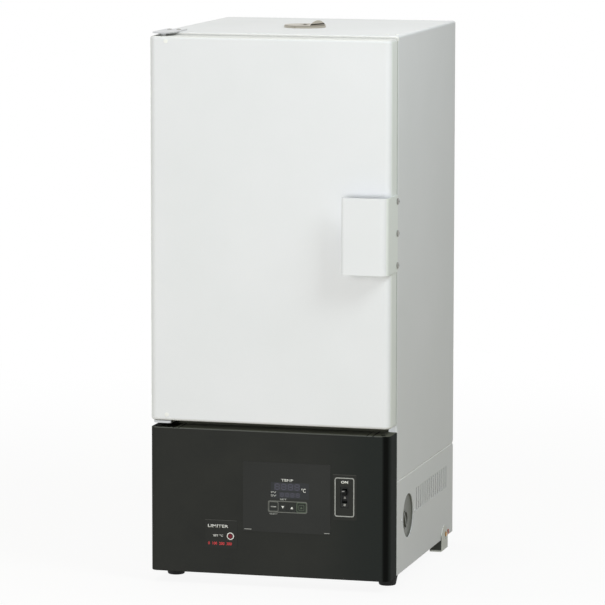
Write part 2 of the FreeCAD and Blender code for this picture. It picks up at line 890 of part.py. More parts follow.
# Air intake on the right side
def intake_dish():
    """Pressed dish, turned about the x axis, with the port below its centre."""
    face = half
    rim = face - dish_rim_depth
    deep = face - dish_depth
    back = inner_half - dish_sheet
    bow = (rim + deep) / 2 - 0.3 * (rim - deep)
    r = dish_radius
    t = dish_sheet
    edges = [Part.LineSegment(vec(inner_half, 0, dish_flange), vec(inner_half, 0, r)).toShape(),
             Part.LineSegment(vec(inner_half, 0, r), vec(rim, 0, r)).toShape(),
             Part.Arc(vec(rim, 0, r), vec(bow, 0, r / 2), vec(deep, 0, 0)).toShape(),
             Part.LineSegment(vec(deep, 0, 0), vec(deep - t, 0, 0)).toShape(),
             Part.Arc(vec(deep - t, 0, 0), vec(bow - t, 0, r / 2), vec(rim - t, 0, r + t)).toShape(),
             Part.LineSegment(vec(rim - t, 0, r + t), vec(back, 0, r + t)).toShape(),
             Part.LineSegment(vec(back, 0, r + t), vec(back, 0, dish_flange)).toShape(),
             Part.LineSegment(vec(back, 0, dish_flange), vec(inner_half, 0, dish_flange)).toShape()]
    dish = Part.Face(Part.Wire(edges)).revolve(vec(0, 0, 0), vec(1, 0, 0), 360)
    dish.translate(vec(0, dish_y, dish_height))
    tools = [rod(vec(deep - dish_depth, dish_y, intake_z), vec(1, 0, 0), intake_radius, 2 * dish_depth)]
    for side in (-1, 1):
        at = vec(back - 1, dish_y + side * dish_screw_spread, dish_height)
        tools.append(rod(at, vec(1, 0, 0), screw_shank + hole_clearance, dish_sheet + 2))
    return cut_all(dish, tools)


def knob_back():
    return half - knob_recess - knob_length


def seat_back():
    return knob_back() - knob_clearance - knob_web


def port_sectors(x0, x1, turn):
    """Air sectors cut along x for the intake knob and its seat."""
    tools = []
    for hole in sector_holes(0, x1 - x0, turn):
        hole.rotate(vec(0, 0, 0), vec(0, 1, 0), 90)
        hole.translate(vec(x0, dish_y, intake_z))
        tools.append(hole)
    return tools


def intake_tube():
    """Level tube behind the dish, with the fixed ported seat, saddled on the riser."""
    out = vec(1, 0, 0)
    start = vec(riser_x, dish_y, intake_z)
    end = half - dish_depth - dish_sheet
    outer = intake_radius + intake_wall
    tube = rod(start, out, outer, end - riser_x).cut(rod(start, out, intake_radius, end - riser_x))
    tube = tube.cut(rod(vec(riser_x, dish_y, intake_z - 2 * outer), vec(0, 0, 1), outer, 4 * outer))
    seat = rod(vec(seat_back(), dish_y, intake_z), out, intake_radius, knob_web)
    seat = cut_all(seat, port_sectors(seat_back() - 1, seat_back() + knob_web + 1, 0))
    return fuse_all([tube, seat])


def intake_riser():
    """Upright tube from the level tube to the chamber floor, closed at its foot."""
    up = vec(0, 0, 1)
    base = intake_z - riser_sump
    outer = intake_radius + intake_wall
    tube = rod(vec(riser_x, dish_y, base), up, outer, chamber_floor - base)
    tube = tube.cut(rod(vec(riser_x, dish_y, base + intake_wall), up, intake_radius, chamber_floor - base))
    return tube.cut(rod(vec(riser_x, dish_y, intake_z), vec(1, 0, 0), intake_radius, 2 * outer))


def intake_knob():
    """Cup-shaped damper knob with a grip bar across it and two air sectors in its back."""
    out = vec(1, 0, 0)
    back = vec(knob_back(), dish_y, intake_z)
    r = intake_radius - knob_clearance
    cup = rod(back, out, r, knob_length)
    cup = cup.cut(rod(back + out * knob_wall, out, r - knob_wall, knob_length))
    bar = centred_box(back.x + knob_length / 2, dish_y, intake_z, knob_length, knob_bar, 2 * r - knob_wall)
    bar.rotate(back, out, 90 - knob_bar_angle)
    cup = fuse_all([cup, bar])
    return cut_all(cup, port_sectors(back.x - 1, back.x + knob_length + 1, 180 - knob_bar_angle))


# Door
def door_block(inset, rear, edge):
    return front_block(-half + inset, half - inset, inset, rear, door_bottom + inset, door_top - inset,
                       door_corner - inset, edge)


def door_outer():
    shell = door_block(0, door_depth, door_edge)
    shell = shell.cut(door_block(door_sheet, door_depth + 1, door_edge - door_sheet))
    up = vec(0, 0, 1)
    hole = bush_radius + hole_clearance
    tools = [rod(vec(hinge_x, hinge_y, door_bottom - 1), up, hole, door_sheet + 2),
             rod(vec(hinge_x, hinge_y, door_top - door_sheet - 1), up, hole, door_sheet + 2)]
    for z in handle_screw_levels():
        tools.append(rod(vec(half - door_sheet - 1, handle_screw_line, z), vec(1, 0, 0),
                         screw_shank + hole_clearance, door_sheet + 2))
    for z in door_plug_levels():
        tools.append(rod(vec(door_plug_x(), -1, z), vec(0, 1, 0), screw_shank + hole_clearance,
                         door_sheet + 2))
    return cut_all(shell, tools)


def door_liner():
    """Rear pan of the door with its raised centre panel inside the gasket."""
    t = door_sheet
    plate = slab(-half + t, half - t, door_depth - liner_sheet, door_depth,
                 door_bottom + t, door_top - t, door_edge - t)
    x = chamber_half - liner_margin
    panel = slab(-x, x, door_depth, door_depth + liner_raise,
                 chamber_floor + liner_margin, chamber_top - liner_margin, liner_raise)
    panel = rounded(panel, liner_raise / 2, lambda e: lies_at(e, y=door_depth + liner_raise))
    return fuse_all([plate, panel])


def hinge_block_boxes(extra):
    """Room of the two steel blocks in the hinge corners of the door."""
    reach = block_size / 2 + extra
    y1 = door_depth - liner_sheet - extra
    boxes = []
    for z0, z1 in ((door_bottom + door_sheet, door_bottom + bush_length),
                   (door_top - bush_length, door_top - door_sheet)):
        boxes.append(box(hinge_x - reach, hinge_x + reach, hinge_y - reach, min(hinge_y + reach, y1),
                         z0 - extra, z1 + extra))
    return boxes


def door_insulation():
    """Wool batt between the door's rounded edges, cut round the hinge blocks."""
    x = half - door_corner - wool_gap
    margin = door_edge + wool_gap
    block = box(-x, x, door_sheet, door_depth - liner_sheet, door_bottom + margin, door_top - margin)
    return cut_all(block, hinge_block_boxes(wool_gap))


def hinge_bearings():
    """Steel blocks in the hinge corners, each with a sleeve through the door's edge and a pin bore."""
    up = vec(0, 0, 1)
    bore = rod(vec(hinge_x, hinge_y, door_bottom - 1), up, pin_radius + pin_clearance,
               door_top - door_bottom + 2)
    bearings = []
    for z, block in zip((door_bottom, door_top - bush_length), hinge_block_boxes(0)):
        bearings.append(fuse_all([block, rod(vec(hinge_x, hinge_y, z), up, bush_radius, bush_length)]).cut(bore))
    return Part.makeCompound(bearings)


def door_gasket():
    """Silicone ring with rounded sealing edges, just clear of the front frame."""
    x = chamber_half + gasket_margin
    z0 = chamber_floor - gasket_margin
    z1 = chamber_top + gasket_margin
    y1 = frame_front - seat_gap
    w = gasket_width
    ring = slab(-x - w, x + w, door_depth, y1, z0 - w, z1 + w, gasket_margin)
    ring = ring.cut(slab(-x, x, door_depth - 1, y1 + 1, z0, z1, gasket_round))
    return rounded(ring, gasket_round, lambda e: lies_at(e, y=y1))


def handle_screw_levels():
    middle = handle_bottom + handle_height / 2
    reach = handle_height / 2 - handle_screw_margin
    return [middle - reach, middle, middle + reach]


def handle_profile():
    """Plan outline of the grip: a lip on the left, a wide front and a side that wraps the door edge."""
    t = handle_sheet
    x1 = half + t
    x0 = x1 - handle_width
    y0 = -handle_reach
    a = handle_lip_bend
    b = handle_bend
    s = 1 - math.sqrt(0.5)
    outer = [Part.LineSegment(vec(x0, y0 + handle_lip, 0), vec(x0, y0 + a, 0)).toShape(),
             Part.Arc(vec(x0, y0 + a, 0), vec(x0 + a * s, y0 + a * s, 0), vec(x0 + a, y0, 0)).toShape(),
             Part.LineSegment(vec(x0 + a, y0, 0), vec(x1 - b, y0, 0)).toShape(),
             Part.Arc(vec(x1 - b, y0, 0), vec(x1 - b * s, y0 + b * s, 0), vec(x1, y0 + b, 0)).toShape(),
             Part.LineSegment(vec(x1, y0 + b, 0), vec(x1, handle_back, 0)).toShape()]
    end = Part.LineSegment(vec(x1, handle_back, 0), vec(x1 - t, handle_back, 0)).toShape()
    c = a - t
    d = b - t
    inner = [Part.LineSegment(vec(x1 - t, handle_back, 0), vec(x1 - t, y0 + b, 0)).toShape(),
             Part.Arc(vec(x1 - t, y0 + b, 0), vec(x1 - b + d * math.sqrt(0.5), y0 + b - d * math.sqrt(0.5), 0),
                      vec(x1 - b, y0 + t, 0)).toShape(),
             Part.LineSegment(vec(x1 - b, y0 + t, 0), vec(x0 + a, y0 + t, 0)).toShape(),
             Part.Arc(vec(x0 + a, y0 + t, 0), vec(x0 + a - c * math.sqrt(0.5), y0 + a - c * math.sqrt(0.5), 0),
                      vec(x0 + t, y0 + a, 0)).toShape(),
             Part.LineSegment(vec(x0 + t, y0 + a, 0), vec(x0 + t, y0 + handle_lip, 0)).toShape()]
    close = Part.LineSegment(vec(x0 + t, y0 + handle_lip, 0), vec(x0, y0 + handle_lip, 0)).toShape()
    return Part.Face(Part.Wire(outer + [end] + inner + [close]))


def handle():
    skin = handle_profile().extrude(vec(0, 0, handle_height))
    skin.translate(vec(0, 0, handle_bottom))
    tools = [rod(vec(half - 1, handle_screw_line, z), vec(1, 0, 0), screw_shank + hole_clearance,
                 handle_sheet + 2) for z in handle_screw_levels()]
    return cut_all(skin, tools)


def handle_screws():
    return Part.makeCompound([pan_screw(vec(half + handle_sheet, handle_screw_line, z), vec(1, 0, 0),
                                        handle_screw_radius, handle_screw_head,
                                        handle_sheet + door_sheet - 0.1)
                              for z in handle_screw_levels()])


def door_plug_x():
    return hinge_x + hinge_screw_spread / 2 + screw_shank


def door_plug_levels():
    return (door_bottom + door_plug_inset + screw_shank, door_top - door_plug_inset)


def door_plugs():
    """Round caps over the screws that lock the hinge blocks."""
    return Part.makeCompound([pan_screw(vec(door_plug_x(), 0, z), vec(0, -1, 0), plug_radius, plug_raise,
                                        door_sheet) for z in door_plug_levels()])


def door_striker():
    """Steel strip on the liner that the magnet pulls."""
    z = (door_bottom + door_top) / 2
    return box(catch_left, catch_right, door_depth, door_depth + liner_sheet, z - catch_length / 2,
               z + catch_length / 2)


def catch_magnet():
    """Magnet block on the front frame, in the strip between the gasket and the casing's return."""
    z = (door_bottom + door_top) / 2
    face = door_depth + liner_sheet + 2 * seat_gap
    return box(catch_left, catch_right, face, frame_front, z - catch_length / 2, z + catch_length / 2)


# Hinges
def top_hinge():
    """Plate with a round nose over the pin that drops into the door's upper bush."""
    up = vec(0, 0, 1)
    r = top_plate_radius
    z = body_height
    nose = rod(vec(hinge_x, hinge_y, z), up, r, top_plate)
    strap = box(hinge_x - r, hinge_x + r, hinge_y, hinge_y - r + top_plate_length, z, z + top_plate)
    strap = rounded(strap, casing_bend, lambda e: any(lies_at(e, x=a, y=hinge_y - r + top_plate_length)
                                                      for a in (hinge_x - r, hinge_x + r)))
    pin = rod(vec(hinge_x, hinge_y, door_top - pin_reach), up, pin_radius, z - door_top + pin_reach)
    plate = fuse_all([nose, strap, pin])
    tools = [rod(vec(hinge_x + s * hinge_screw_spread / 2, hinge_y + hinge_screw_setback, z - 1), up,
                 screw_shank + hole_clearance, top_plate + 2) for s in (-1, 1)]
    return cut_all(plate, tools)


def bottom_hinge():
    """Angle bracket that carries the door: a plate under it with a pin, and a flange on the cabinet."""
    up = vec(0, 0, 1)
    x0 = hinge_x - bottom_plate_width / 2
    x1 = hinge_x + bottom_plate_width / 2
    r = bottom_plate_width / 4
    plate = box(x0, x1, hinge_y - bottom_plate_width / 2, front_plane,
                bracket_top - bottom_plate, bracket_top)
    plate = rounded(plate, r, lambda e: any(lies_at(e, x=a, y=hinge_y - bottom_plate_width / 2)
                                            for a in (x0, x1)))
    flange = box(x0, x1, front_plane - bottom_flange, front_plane,
                 bracket_top - bottom_flange_drop, bracket_top)
    pin = rod(vec(hinge_x, hinge_y, bracket_top - bottom_plate), up, pin_radius,
              bottom_plate + door_bottom - bracket_top + pin_reach)
    washer = rod(vec(hinge_x, hinge_y, bracket_top), up, washer_radius, washer_thickness)
    return fuse_all([plate, flange, washer, pin])


def spare_plugs():
    """Caps in the holes kept for hanging the door on the other side."""
    plugs = []
    for s in (-1, 1):
        at = vec(-hinge_x + s * hinge_screw_spread / 2, hinge_y + hinge_screw_setback, body_height)
        plugs.append(pan_screw(at, vec(0, 0, 1), plug_radius, plug_raise, plug_depth))
    return Part.makeCompound(plugs)


# Control cover and what it carries
def key_centres():
    return [key_first + i * key_pitch for i in range(4)]


def key_bay():
    """Opening in the cover that the four keys share."""
    centres = key_centres()
    x0 = centres[0] - key_width / 2 - key_bay_margin
    x1 = centres[-1] + key_width / 2 + key_bay_margin
    z = key_height / 2 + key_bay_margin
    return box(x0, x1, -2, cover_wall + 1, key_line - z, key_line + z)


def control_cover():
    cover = front_block(-half, half, 0, front_plane, cover_bottom, cover_top, door_corner, cover_edge)
    hollow = front_block(-half + cover_wall, half - cover_wall, cover_wall, front_plane + 1,
                         cover_bottom + cover_wall, cover_top - cover_wall, door_corner - cover_wall, 0)
    cover = cover.cut(hollow)
    bosses = []
    for x in (overlay_left + board_margin, overlay_right - board_margin):
        for z in (overlay_low + board_margin, overlay_high - board_margin):
            bosses.append(rod(vec(x, cover_wall / 2, z), vec(0, 1, 0), boss_radius,
                              board_setback - cover_wall / 2))
    cover = fuse_all([cover] + bosses)
    w = breaker_window_width / 2
    h = breaker_window_height / 2
    x0 = hinge_x - bottom_plate_width / 2 - hole_clearance
    tools = [key_bay(),
             box(window_left, window_right, -1, cover_wall + 1, window_low, window_high),
             box(breaker_x - w, breaker_x + w, -1, cover_wall + 1, breaker_z - h, breaker_z + h),
             rod(vec(limit_x, -1, limit_z), vec(0, 1, 0), limit_dial_radius + key_clearance, cover_wall + 2),
             box(x0, hinge_x + bottom_plate_width / 2 + hole_clearance,
                 front_plane - bottom_flange - hole_clearance, front_plane + 1,
                 cover_top - cover_wall - 1, cover_top + 1),
             box(half - slot_inset - slot_length / 2, half - slot_inset + slot_length / 2,
                 slot_setback - slot_width / 2, slot_setback + slot_width / 2,
                 cover_top - cover_wall - 1, cover_top + 1),
             box(half - notch_inset - notch_length / 2, half - notch_inset + notch_length / 2, -1, notch_depth,
                 cover_top - notch_depth, cover_top + 1)]
    for x in (groove_inset - half, half - groove_inset):
        tools.append(box(x - groove_width / 2, x + groove_width / 2, -1, front_plane + 1,
                         cover_top - groove_depth, cover_top + 1))
    return cut_all(cover, tools)


def control_overlay():
    sheet = slab(overlay_left, overlay_right, -overlay_sheet, 0, overlay_low, overlay_high, key_corner)
    tools = [box(window_left, window_right, -1, 1, window_low, window_high)]
    c = key_clearance
    for x in key_centres():
        tools.append(slab(x - key_width / 2 - c, x + key_width / 2 + c, -1, 1,
                          key_line - key_height / 2 - c, key_line + key_height / 2 + c, key_corner + c))
    return cut_all(sheet, tools)


def display_window():
    return box(window_left, window_right, -overlay_sheet, window_thickness - overlay_sheet,
               window_low, window_high)


def key(index):
    """Key cap flush with the overlay, with a rim behind it that keeps it in."""
    x = key_centres()[index]
    w = key_width / 2
    h = key_height / 2
    back = key_thickness - overlay_sheet
    cap = slab(x - w, x + w, -overlay_sheet, back, key_line - h, key_line + h, key_corner)
    rim = slab(x - w - key_rim, x + w + key_rim, key_clearance, back,
               key_line - h - key_rim, key_line + h + key_rim, key_corner)
    return fuse_all([cap, rim])


def control_board():
    """Board on the cover's posts with the display block and a switch behind each key."""
    y = board_setback
    board = box(overlay_left + 1, overlay_right - 1, y, y + board_sheet, overlay_low + 1, overlay_high - 1)
    parts = [board,
             box(window_left + 1, window_right - 1, window_thickness - overlay_sheet, y,
                 window_low + 1, window_high - 1)]
    front = key_thickness - overlay_sheet + key_travel + key_clearance
    for x in key_centres():
        parts.append(box(x - 3, x + 3, front, y, key_line - 3, key_line + 3))
    return fuse_all(parts)


def breaker_body():
    w = breaker_window_width / 2 - hole_clearance
    h = breaker_window_height / 2 - hole_clearance
    body = box(breaker_x - breaker_width / 2, breaker_x + breaker_width / 2, cover_wall,
               cover_wall + breaker_depth, breaker_z - breaker_height / 2, breaker_z + breaker_height / 2)
    face = box(breaker_x - w, breaker_x + w, breaker_face, cover_wall, breaker_z - h, breaker_z + h)
    body = fuse_all([body, face])
    slot = centred_box(breaker_x, breaker_slot_depth / 2, breaker_z, breaker_slot_width,
                       breaker_slot_depth, breaker_slot_height)
    pivot = rod(vec(breaker_x - w, lever_pivot, breaker_z), vec(1, 0, 0), trunnion_radius + pin_clearance,
                2 * w)
    return cut_all(body, [slot, pivot])


def breaker_lever():
    """Toggle with a tapered handle, lying in its upper position."""
    length = lever_length
    t = lever_thickness / 2
    x = lever_width / 2
    points = [vec(-x, 0, -t), vec(-x, -length, -t * 0.75), vec(-x, -length, t * 0.75), vec(-x, 0, t)]
    blade = Part.Face(Part.makePolygon(points + [points[0]])).extrude(vec(lever_width, 0, 0))
    blade = blade.makeFillet(1.0, [e for e in blade.Edges if lies_at(e, y=-length)])
    hub = rod(vec(-x, 0, 0), vec(1, 0, 0), t, lever_width)
    reach = breaker_slot_width / 2 + trunnion_reach
    axle = rod(vec(-reach, 0, 0), vec(1, 0, 0), trunnion_radius, 2 * reach)
    lever = fuse_all([blade, hub, axle])
    lever.rotate(vec(0, 0, 0), vec(1, 0, 0), -lever_tilt)
    lever.translate(vec(breaker_x, lever_pivot, breaker_z))
    return lever


def label_plates():
    """Thin plates round the breaker's toggle and the overheat dial."""
    w = switch_plate_width / 2
    h = switch_plate_height / 2
    switch = slab(breaker_x - w, breaker_x + w, -plate_sheet, 0, breaker_z - h, breaker_z + h, key_corner)
    w = breaker_window_width / 2
    h = breaker_window_height / 2
    switch = switch.cut(box(breaker_x - w, breaker_x + w, -1, 1, breaker_z - h, breaker_z + h))
    limit = slab(limit_plate_left, limit_plate_right, -plate_sheet, 0, limit_plate_low, limit_plate_high,
                 key_corner)
    limit = limit.cut(rod(vec(limit_x, -1, limit_z), vec(0, 1, 0), limit_dial_radius + key_clearance, 2))
    return Part.makeCompound([switch, limit])


def limit_switch():
    r = limit_body / 2
    body = box(limit_x - r, limit_x + r, cover_wall, cover_wall + limit_body_depth, limit_z - r, limit_z + r)
    return body.cut(rod(vec(limit_x, cover_wall - 1, limit_z), vec(0, 1, 0),
                        limit_dial_radius + pin_clearance, limit_shaft_length + 1.3))


def limit_dial():
    """Screwdriver-set dial with a slot across its face."""
    back = vec(0, 1, 0)
    dial = rod(vec(limit_x, -limit_dial_front, limit_z), back, limit_dial_radius,
               limit_dial_front + cover_wall + limit_shaft_length)
    slot = centred_box(limit_x, -limit_dial_front, limit_z, 2 * limit_dial_radius + 2, 1.2, 1.2)
    return dial.cut(slot)


# Electrical parts in the base
def heat_sink():
    """Finned aluminium extrusion on the base pan."""
    w = relay_width
    y0 = sink_y
    y1 = sink_y + relay_length
    parts = [box(sink_x - w / 2, sink_x + w / 2, y0, y1, base_top, base_top + sink_base)]
    pitch = (w - sink_fin) / (sink_fins - 1)
    for i in range(sink_fins):
        x = sink_x - w / 2 + i * pitch
        parts.append(box(x, x + sink_fin, y0, y1, base_top + sink_base - 1, base_top + sink_height))
    return fuse_all(parts)


def power_relay():
    x = sink_x + relay_width + sink_fin
    body = box(x - relay_width / 2, x + relay_width / 2, sink_y, sink_y + relay_length,
               base_top, base_top + relay_height)
    return rounded(body, 2.0, lambda e: lies_at(e, z=base_top + relay_height))


def terminal_block():
    """Row of screw terminals near the cord's entry."""
    y0 = casing_rear - casing_sheet - 2 * terminal_width
    x0 = gland_x + 2 * gland_radius
    block = box(x0, x0 + terminal_length, y0, y0 + terminal_width, base_top, base_top + terminal_height)
    pitch = terminal_length / terminal_ways
    tools = []
    for i in range(terminal_ways):
        cx = x0 + (i + 0.5) * pitch
        tools.append(centred_box(cx, y0 + terminal_width / 2, base_top + terminal_height,
                                 pitch * 0.6, terminal_width + 2, terminal_height * 0.7))
    return cut_all(block, tools)


def cord_gland():
    """Ribbed gland for the supply cord, through the lower rear panel."""
    back = vec(0, 1, 0)
    at = vec(gland_x, rear_plane, gland_z)
    body = rod(at, back, gland_radius, gland_cap)
    nose = Part.makeCone(gland_radius * 0.9, gland_radius * 0.62, gland_reach - gland_cap,
                         at + back * gland_cap, back)
    neck = rod(at - back * (rear_sheet + gland_nut), back, gland_radius * 0.7, rear_sheet + gland_nut)
    nut = rod(at - back * (rear_sheet + gland_nut), back, gland_radius, gland_nut)
    gland = fuse_all([body, nose, neck, nut])
    inside = rear_sheet + gland_nut + 1
    return gland.cut(rod(at - back * inside, back, gland_bore, inside + gland_reach + 1))


# Feet
def front_feet():
    feet = []
    for x in (-foot_x, foot_x):
        foot = Part.makeCone(foot_bottom_radius, foot_top_radius, ground_clearance, vec(x, foot_y, 0))
        feet.append(rounded(foot, foot_edge, lambda e: lies_at(e, z=0)))
    return Part.makeCompound(feet)


def foot_screw_setbacks():
    """Places of the bracket's screw and of the earth screw behind it."""
    end = foot_back + bracket_width
    return [end - bracket_screw_inset, end + earth_screw_gap]


def rear_feet():
    """Folded brackets outside the lower sides: round-topped slotted plate, sole on the floor, front web."""
    r = bracket_width / 2
    x0 = half
    x1 = half + bracket_sheet
    y = foot_back + r
    plate = box(x0, x1, foot_back, foot_back + bracket_width, 0, bracket_height - r)
    top = rod(vec(x0, y, bracket_height - r), vec(1, 0, 0), r, bracket_sheet)
    top = top.common(box(x0, x1, y - r, y + r, bracket_height - r, bracket_height))
    sole = box(x1 - bracket_sole, x1, foot_back, foot_back + bracket_width, 0, bracket_sheet)
    web = box(x1 - bracket_sole, x1, foot_back, foot_back + bracket_sheet, 0,
              ground_clearance - hole_clearance)
    foot = fuse_all([plate, top, sole, web])
    foot = rounded(foot, bracket_sheet * 0.8, lambda e: lies_at(e, x=x1, z=0))
    low = bracket_screw_height - bracket_slot_drop - bracket_slot_width / 2
    high = bracket_screw_height + bracket_slot_rise + bracket_slot_width / 2
    foot = foot.cut(obround_x(x0 - 1, x1 + 1, foot_screw_setbacks()[0], low, high, bracket_slot_width))
    return Part.makeCompound([foot, mirrored(foot)])


def cabinet_screws():
    """Screws of the dish, the hinges and the rear feet, with the earth screw beside each foot."""
    out = vec(1, 0, 0)
    screws = []
    for side in (-1, 1):
        at = vec(half, dish_y + side * dish_screw_spread, dish_height)
        screws.append(pan_screw(at, out, dish_screw_radius, dish_screw_head, casing_sheet + dish_sheet))
        x = hinge_x + side * hinge_screw_spread / 2
        at = vec(x, hinge_y + hinge_screw_setback, body_height + top_plate)
        screws.append(pan_screw(at, vec(0, 0, 1), 2 * screw_shank, dish_screw_head, top_plate + casing_sheet))
        at = vec(x, front_plane - bottom_flange, bracket_top - hinge_flange_screw_drop)
        screws.append(rod(at, vec(0, -1, 0), 2 * screw_shank, dish_screw_head))
    y, earth_y = foot_screw_setbacks()
    slotted = pan_screw(vec(half + bracket_sheet, y, bracket_screw_height), out, foot_screw_radius,
                        foot_screw_head, bracket_sheet + casing_sheet)
    earth = pan_screw(vec(half, earth_y, bracket_screw_height), out, foot_screw_radius, foot_screw_head,
                      casing_sheet)
    screws += [slotted, mirrored(slotted), earth, mirrored(earth)]
    return Part.makeCompound(screws)


pieces = {
    "upper_casing": upper_casing,
    "lower_side_left": lower_side_left,
    "lower_side_right": lower_side_right,
    "rear_upper_panel": rear_upper_panel,
    "rear_lower_panel": rear_lower_panel,
    "base_pan": base_pan,
    "lower_frame": lower_frame,
    "deck": deck,
    "front_frame": front_frame,
    "inner_chamber": inner_chamber,
    "insulation": insulation,
    "shelf_rails": shelf_rails,
    "shelf_clips": shelf_clips,
    "lower_shelf": lambda: wire_shelf(lower_shelf_slot),
    "upper_shelf": lambda: wire_shelf(upper_shelf_slot),
    "heater": heater,
    "heater_bushings": heater_bushings,
    "heater_baffle": heater_baffle,
    "sensors": sensors,
    "exhaust_pipe": exhaust_pipe,
    "exhaust_collar": exhaust_collar,
    "exhaust_damper": exhaust_damper,
    "exhaust_pin": exhaust_pin,
    "intake_dish": intake_dish,
    "intake_tube": intake_tube,
    "intake_riser": intake_riser,
    "intake_knob": intake_knob,
    "door_outer": door_outer,
    "door_liner": door_liner,
    "door_insulation": door_insulation,
    "hinge_bearings": hinge_bearings,
    "door_gasket": door_gasket,
    "door_plugs": door_plugs,
    "door_striker": door_striker,
    "handle": handle,
    "handle_screws": handle_screws,
    "catch_magnet": catch_magnet,
    "top_hinge": top_hinge,
    "bottom_hinge": bottom_hinge,
    "spare_plugs": spare_plugs,
    "cabinet_screws": cabinet_screws,
    "control_cover": control_cover,
    "control_overlay": control_overlay,
    "display_window": display_window,
    "key_mode": lambda: key(0),
    "key_down": lambda: key(1),
    "key_up": lambda: key(2),
    "key_run": lambda: key(3),
    "control_board": control_board,
    "breaker_body": breaker_body,
    "breaker_lever": breaker_lever,
    "label_plates": label_plates,
    "limit_switch": limit_switch,
    "limit_dial": limit_dial,
    "heat_sink": heat_sink,
    "power_relay": power_relay,
    "terminal_block": terminal_block,
    "cord_gland": cord_gland,
    "front_feet": front_feet,
    "rear_feet": rear_feet,
}

os.makedirs("parts", exist_ok=True)
for name, make in pieces.items():
    export(name, make())
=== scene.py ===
import math

import bmesh
import bpy
from mathutils import Euler, Matrix, Vector


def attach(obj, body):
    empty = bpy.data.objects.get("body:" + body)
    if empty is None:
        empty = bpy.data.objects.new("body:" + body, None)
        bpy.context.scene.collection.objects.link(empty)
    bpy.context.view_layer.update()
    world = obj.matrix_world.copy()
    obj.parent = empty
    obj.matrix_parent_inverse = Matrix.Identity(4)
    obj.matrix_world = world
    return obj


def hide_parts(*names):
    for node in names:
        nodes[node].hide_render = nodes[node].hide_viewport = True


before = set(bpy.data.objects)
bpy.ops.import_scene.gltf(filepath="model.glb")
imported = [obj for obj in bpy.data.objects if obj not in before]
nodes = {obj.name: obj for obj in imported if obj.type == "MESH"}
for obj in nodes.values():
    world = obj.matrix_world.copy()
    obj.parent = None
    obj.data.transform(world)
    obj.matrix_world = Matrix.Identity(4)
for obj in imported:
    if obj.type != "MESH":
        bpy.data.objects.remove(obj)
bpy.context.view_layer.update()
print("frame loaded:", len(nodes), "nodes")

# Places are in millimetres: x from the middle of the width, y back from the door's face, z up from the floor
mm = 0.001
perMetre = 1000     # over a size in millimetres it is a noise scale
frameShift = Vector((-1.0, -225.0, 0.0))
axes = {"x": 0, "y": 1, "z": 2}


def place(x, y, z):
    return (Vector((x, y, z)) + frameShift) * mm


def newObject(name, data):
    thing = bpy.data.objects.new(name, data)
    bpy.context.scene.collection.objects.link(thing)
    return thing


# Camera first, at the angle of the photograph; nearest and farthest are in metres
cameraView = {"x": 1771.0, "y": -6484.2, "z": 1354.1, "turn": 14.8113, "tilt": -7.4427, "roll": 0.0701,
              "lens": 245.70, "sensor": 36.0, "nearest": 0.5, "farthest": 60.0}


def setCamera(look):
    camera = newObject("camera", bpy.data.cameras.new("camera"))
    turn = Euler((math.radians(90 + look["tilt"]), 0, math.radians(look["turn"]))).to_matrix()
    turn = turn @ Matrix.Rotation(math.radians(look["roll"]), 3, "Z")
    camera.matrix_world = Matrix.Translation(place(look["x"], look["y"], look["z"])) @ turn.to_4x4()
    camera.data.sensor_width = look["sensor"]
    camera.data.lens = look["lens"]
    camera.data.clip_start = look["nearest"]
    camera.data.clip_end = look["farthest"]
    bpy.context.scene.camera = camera


setCamera(cameraView)
print("camera set")


# Materials. An sRGB hex value is turned to linear by the standard's own numbers
def linear(hexColour):
    parts = [int(hexColour[i:i + 2], 16) / 255 for i in (1, 3, 5)]
    return tuple(p / 12.92 if p <= 0.04045 else ((p + 0.055) / 1.055) ** 2.4 for p in parts) + (1.0,)


# A setting is an input, by its name or number, or else a property of the node
def addNode(tree, kind, settings=None, links=None):
    node = tree.nodes.new(kind)
    for name, value in (settings or {}).items():
        if isinstance(name, int) or name in node.inputs:
            node.inputs[name].default_value = value
        else:
            setattr(node, name, value)
    for name, source in (links or {}).items():
        tree.links.new(source, node.inputs[name])
    return node


def emptyTree(owner):
    owner.use_nodes = True
    owner.node_tree.nodes.clear()
    return owner.node_tree


# Each limit is an axis, or "out" for the distance from the middle plane, and the two places between which
# the zone fades in
def zoneMask(tree, where, limits):
    split = addNode(tree, "ShaderNodeSeparateXYZ", {}, {0: where})
    mask = None
    for axis, start, full in limits:
        if axis == "out":
            shift = 0.0
            source = addNode(tree, "ShaderNodeMath", {"operation": "ABSOLUTE"},
                             {0: split.outputs[0]}).outputs[0]
        else:
            shift = frameShift[axes[axis]]
            source = split.outputs[axes[axis]]
        step = addNode(tree, "ShaderNodeMapRange", {
            "interpolation_type": "SMOOTHSTEP", "From Min": (start + shift) * mm,
            "From Max": (full + shift) * mm}, {"Value": source}).outputs["Result"]
        mask = step if mask is None else addNode(tree, "ShaderNodeMath", {"operation": "MULTIPLY"},
                                                 {0: mask, 1: step}).outputs[0]
    return mask


usualGrainShare = 0.3       # what the grain adds to the patches, where a finish names no other share
toneSpread = (0.35, 0.95)   # patches and grain together, from the full shade to the full colour
grainSpread = (0.3, 0.7)    # the grain alone, from the low to the high roughness


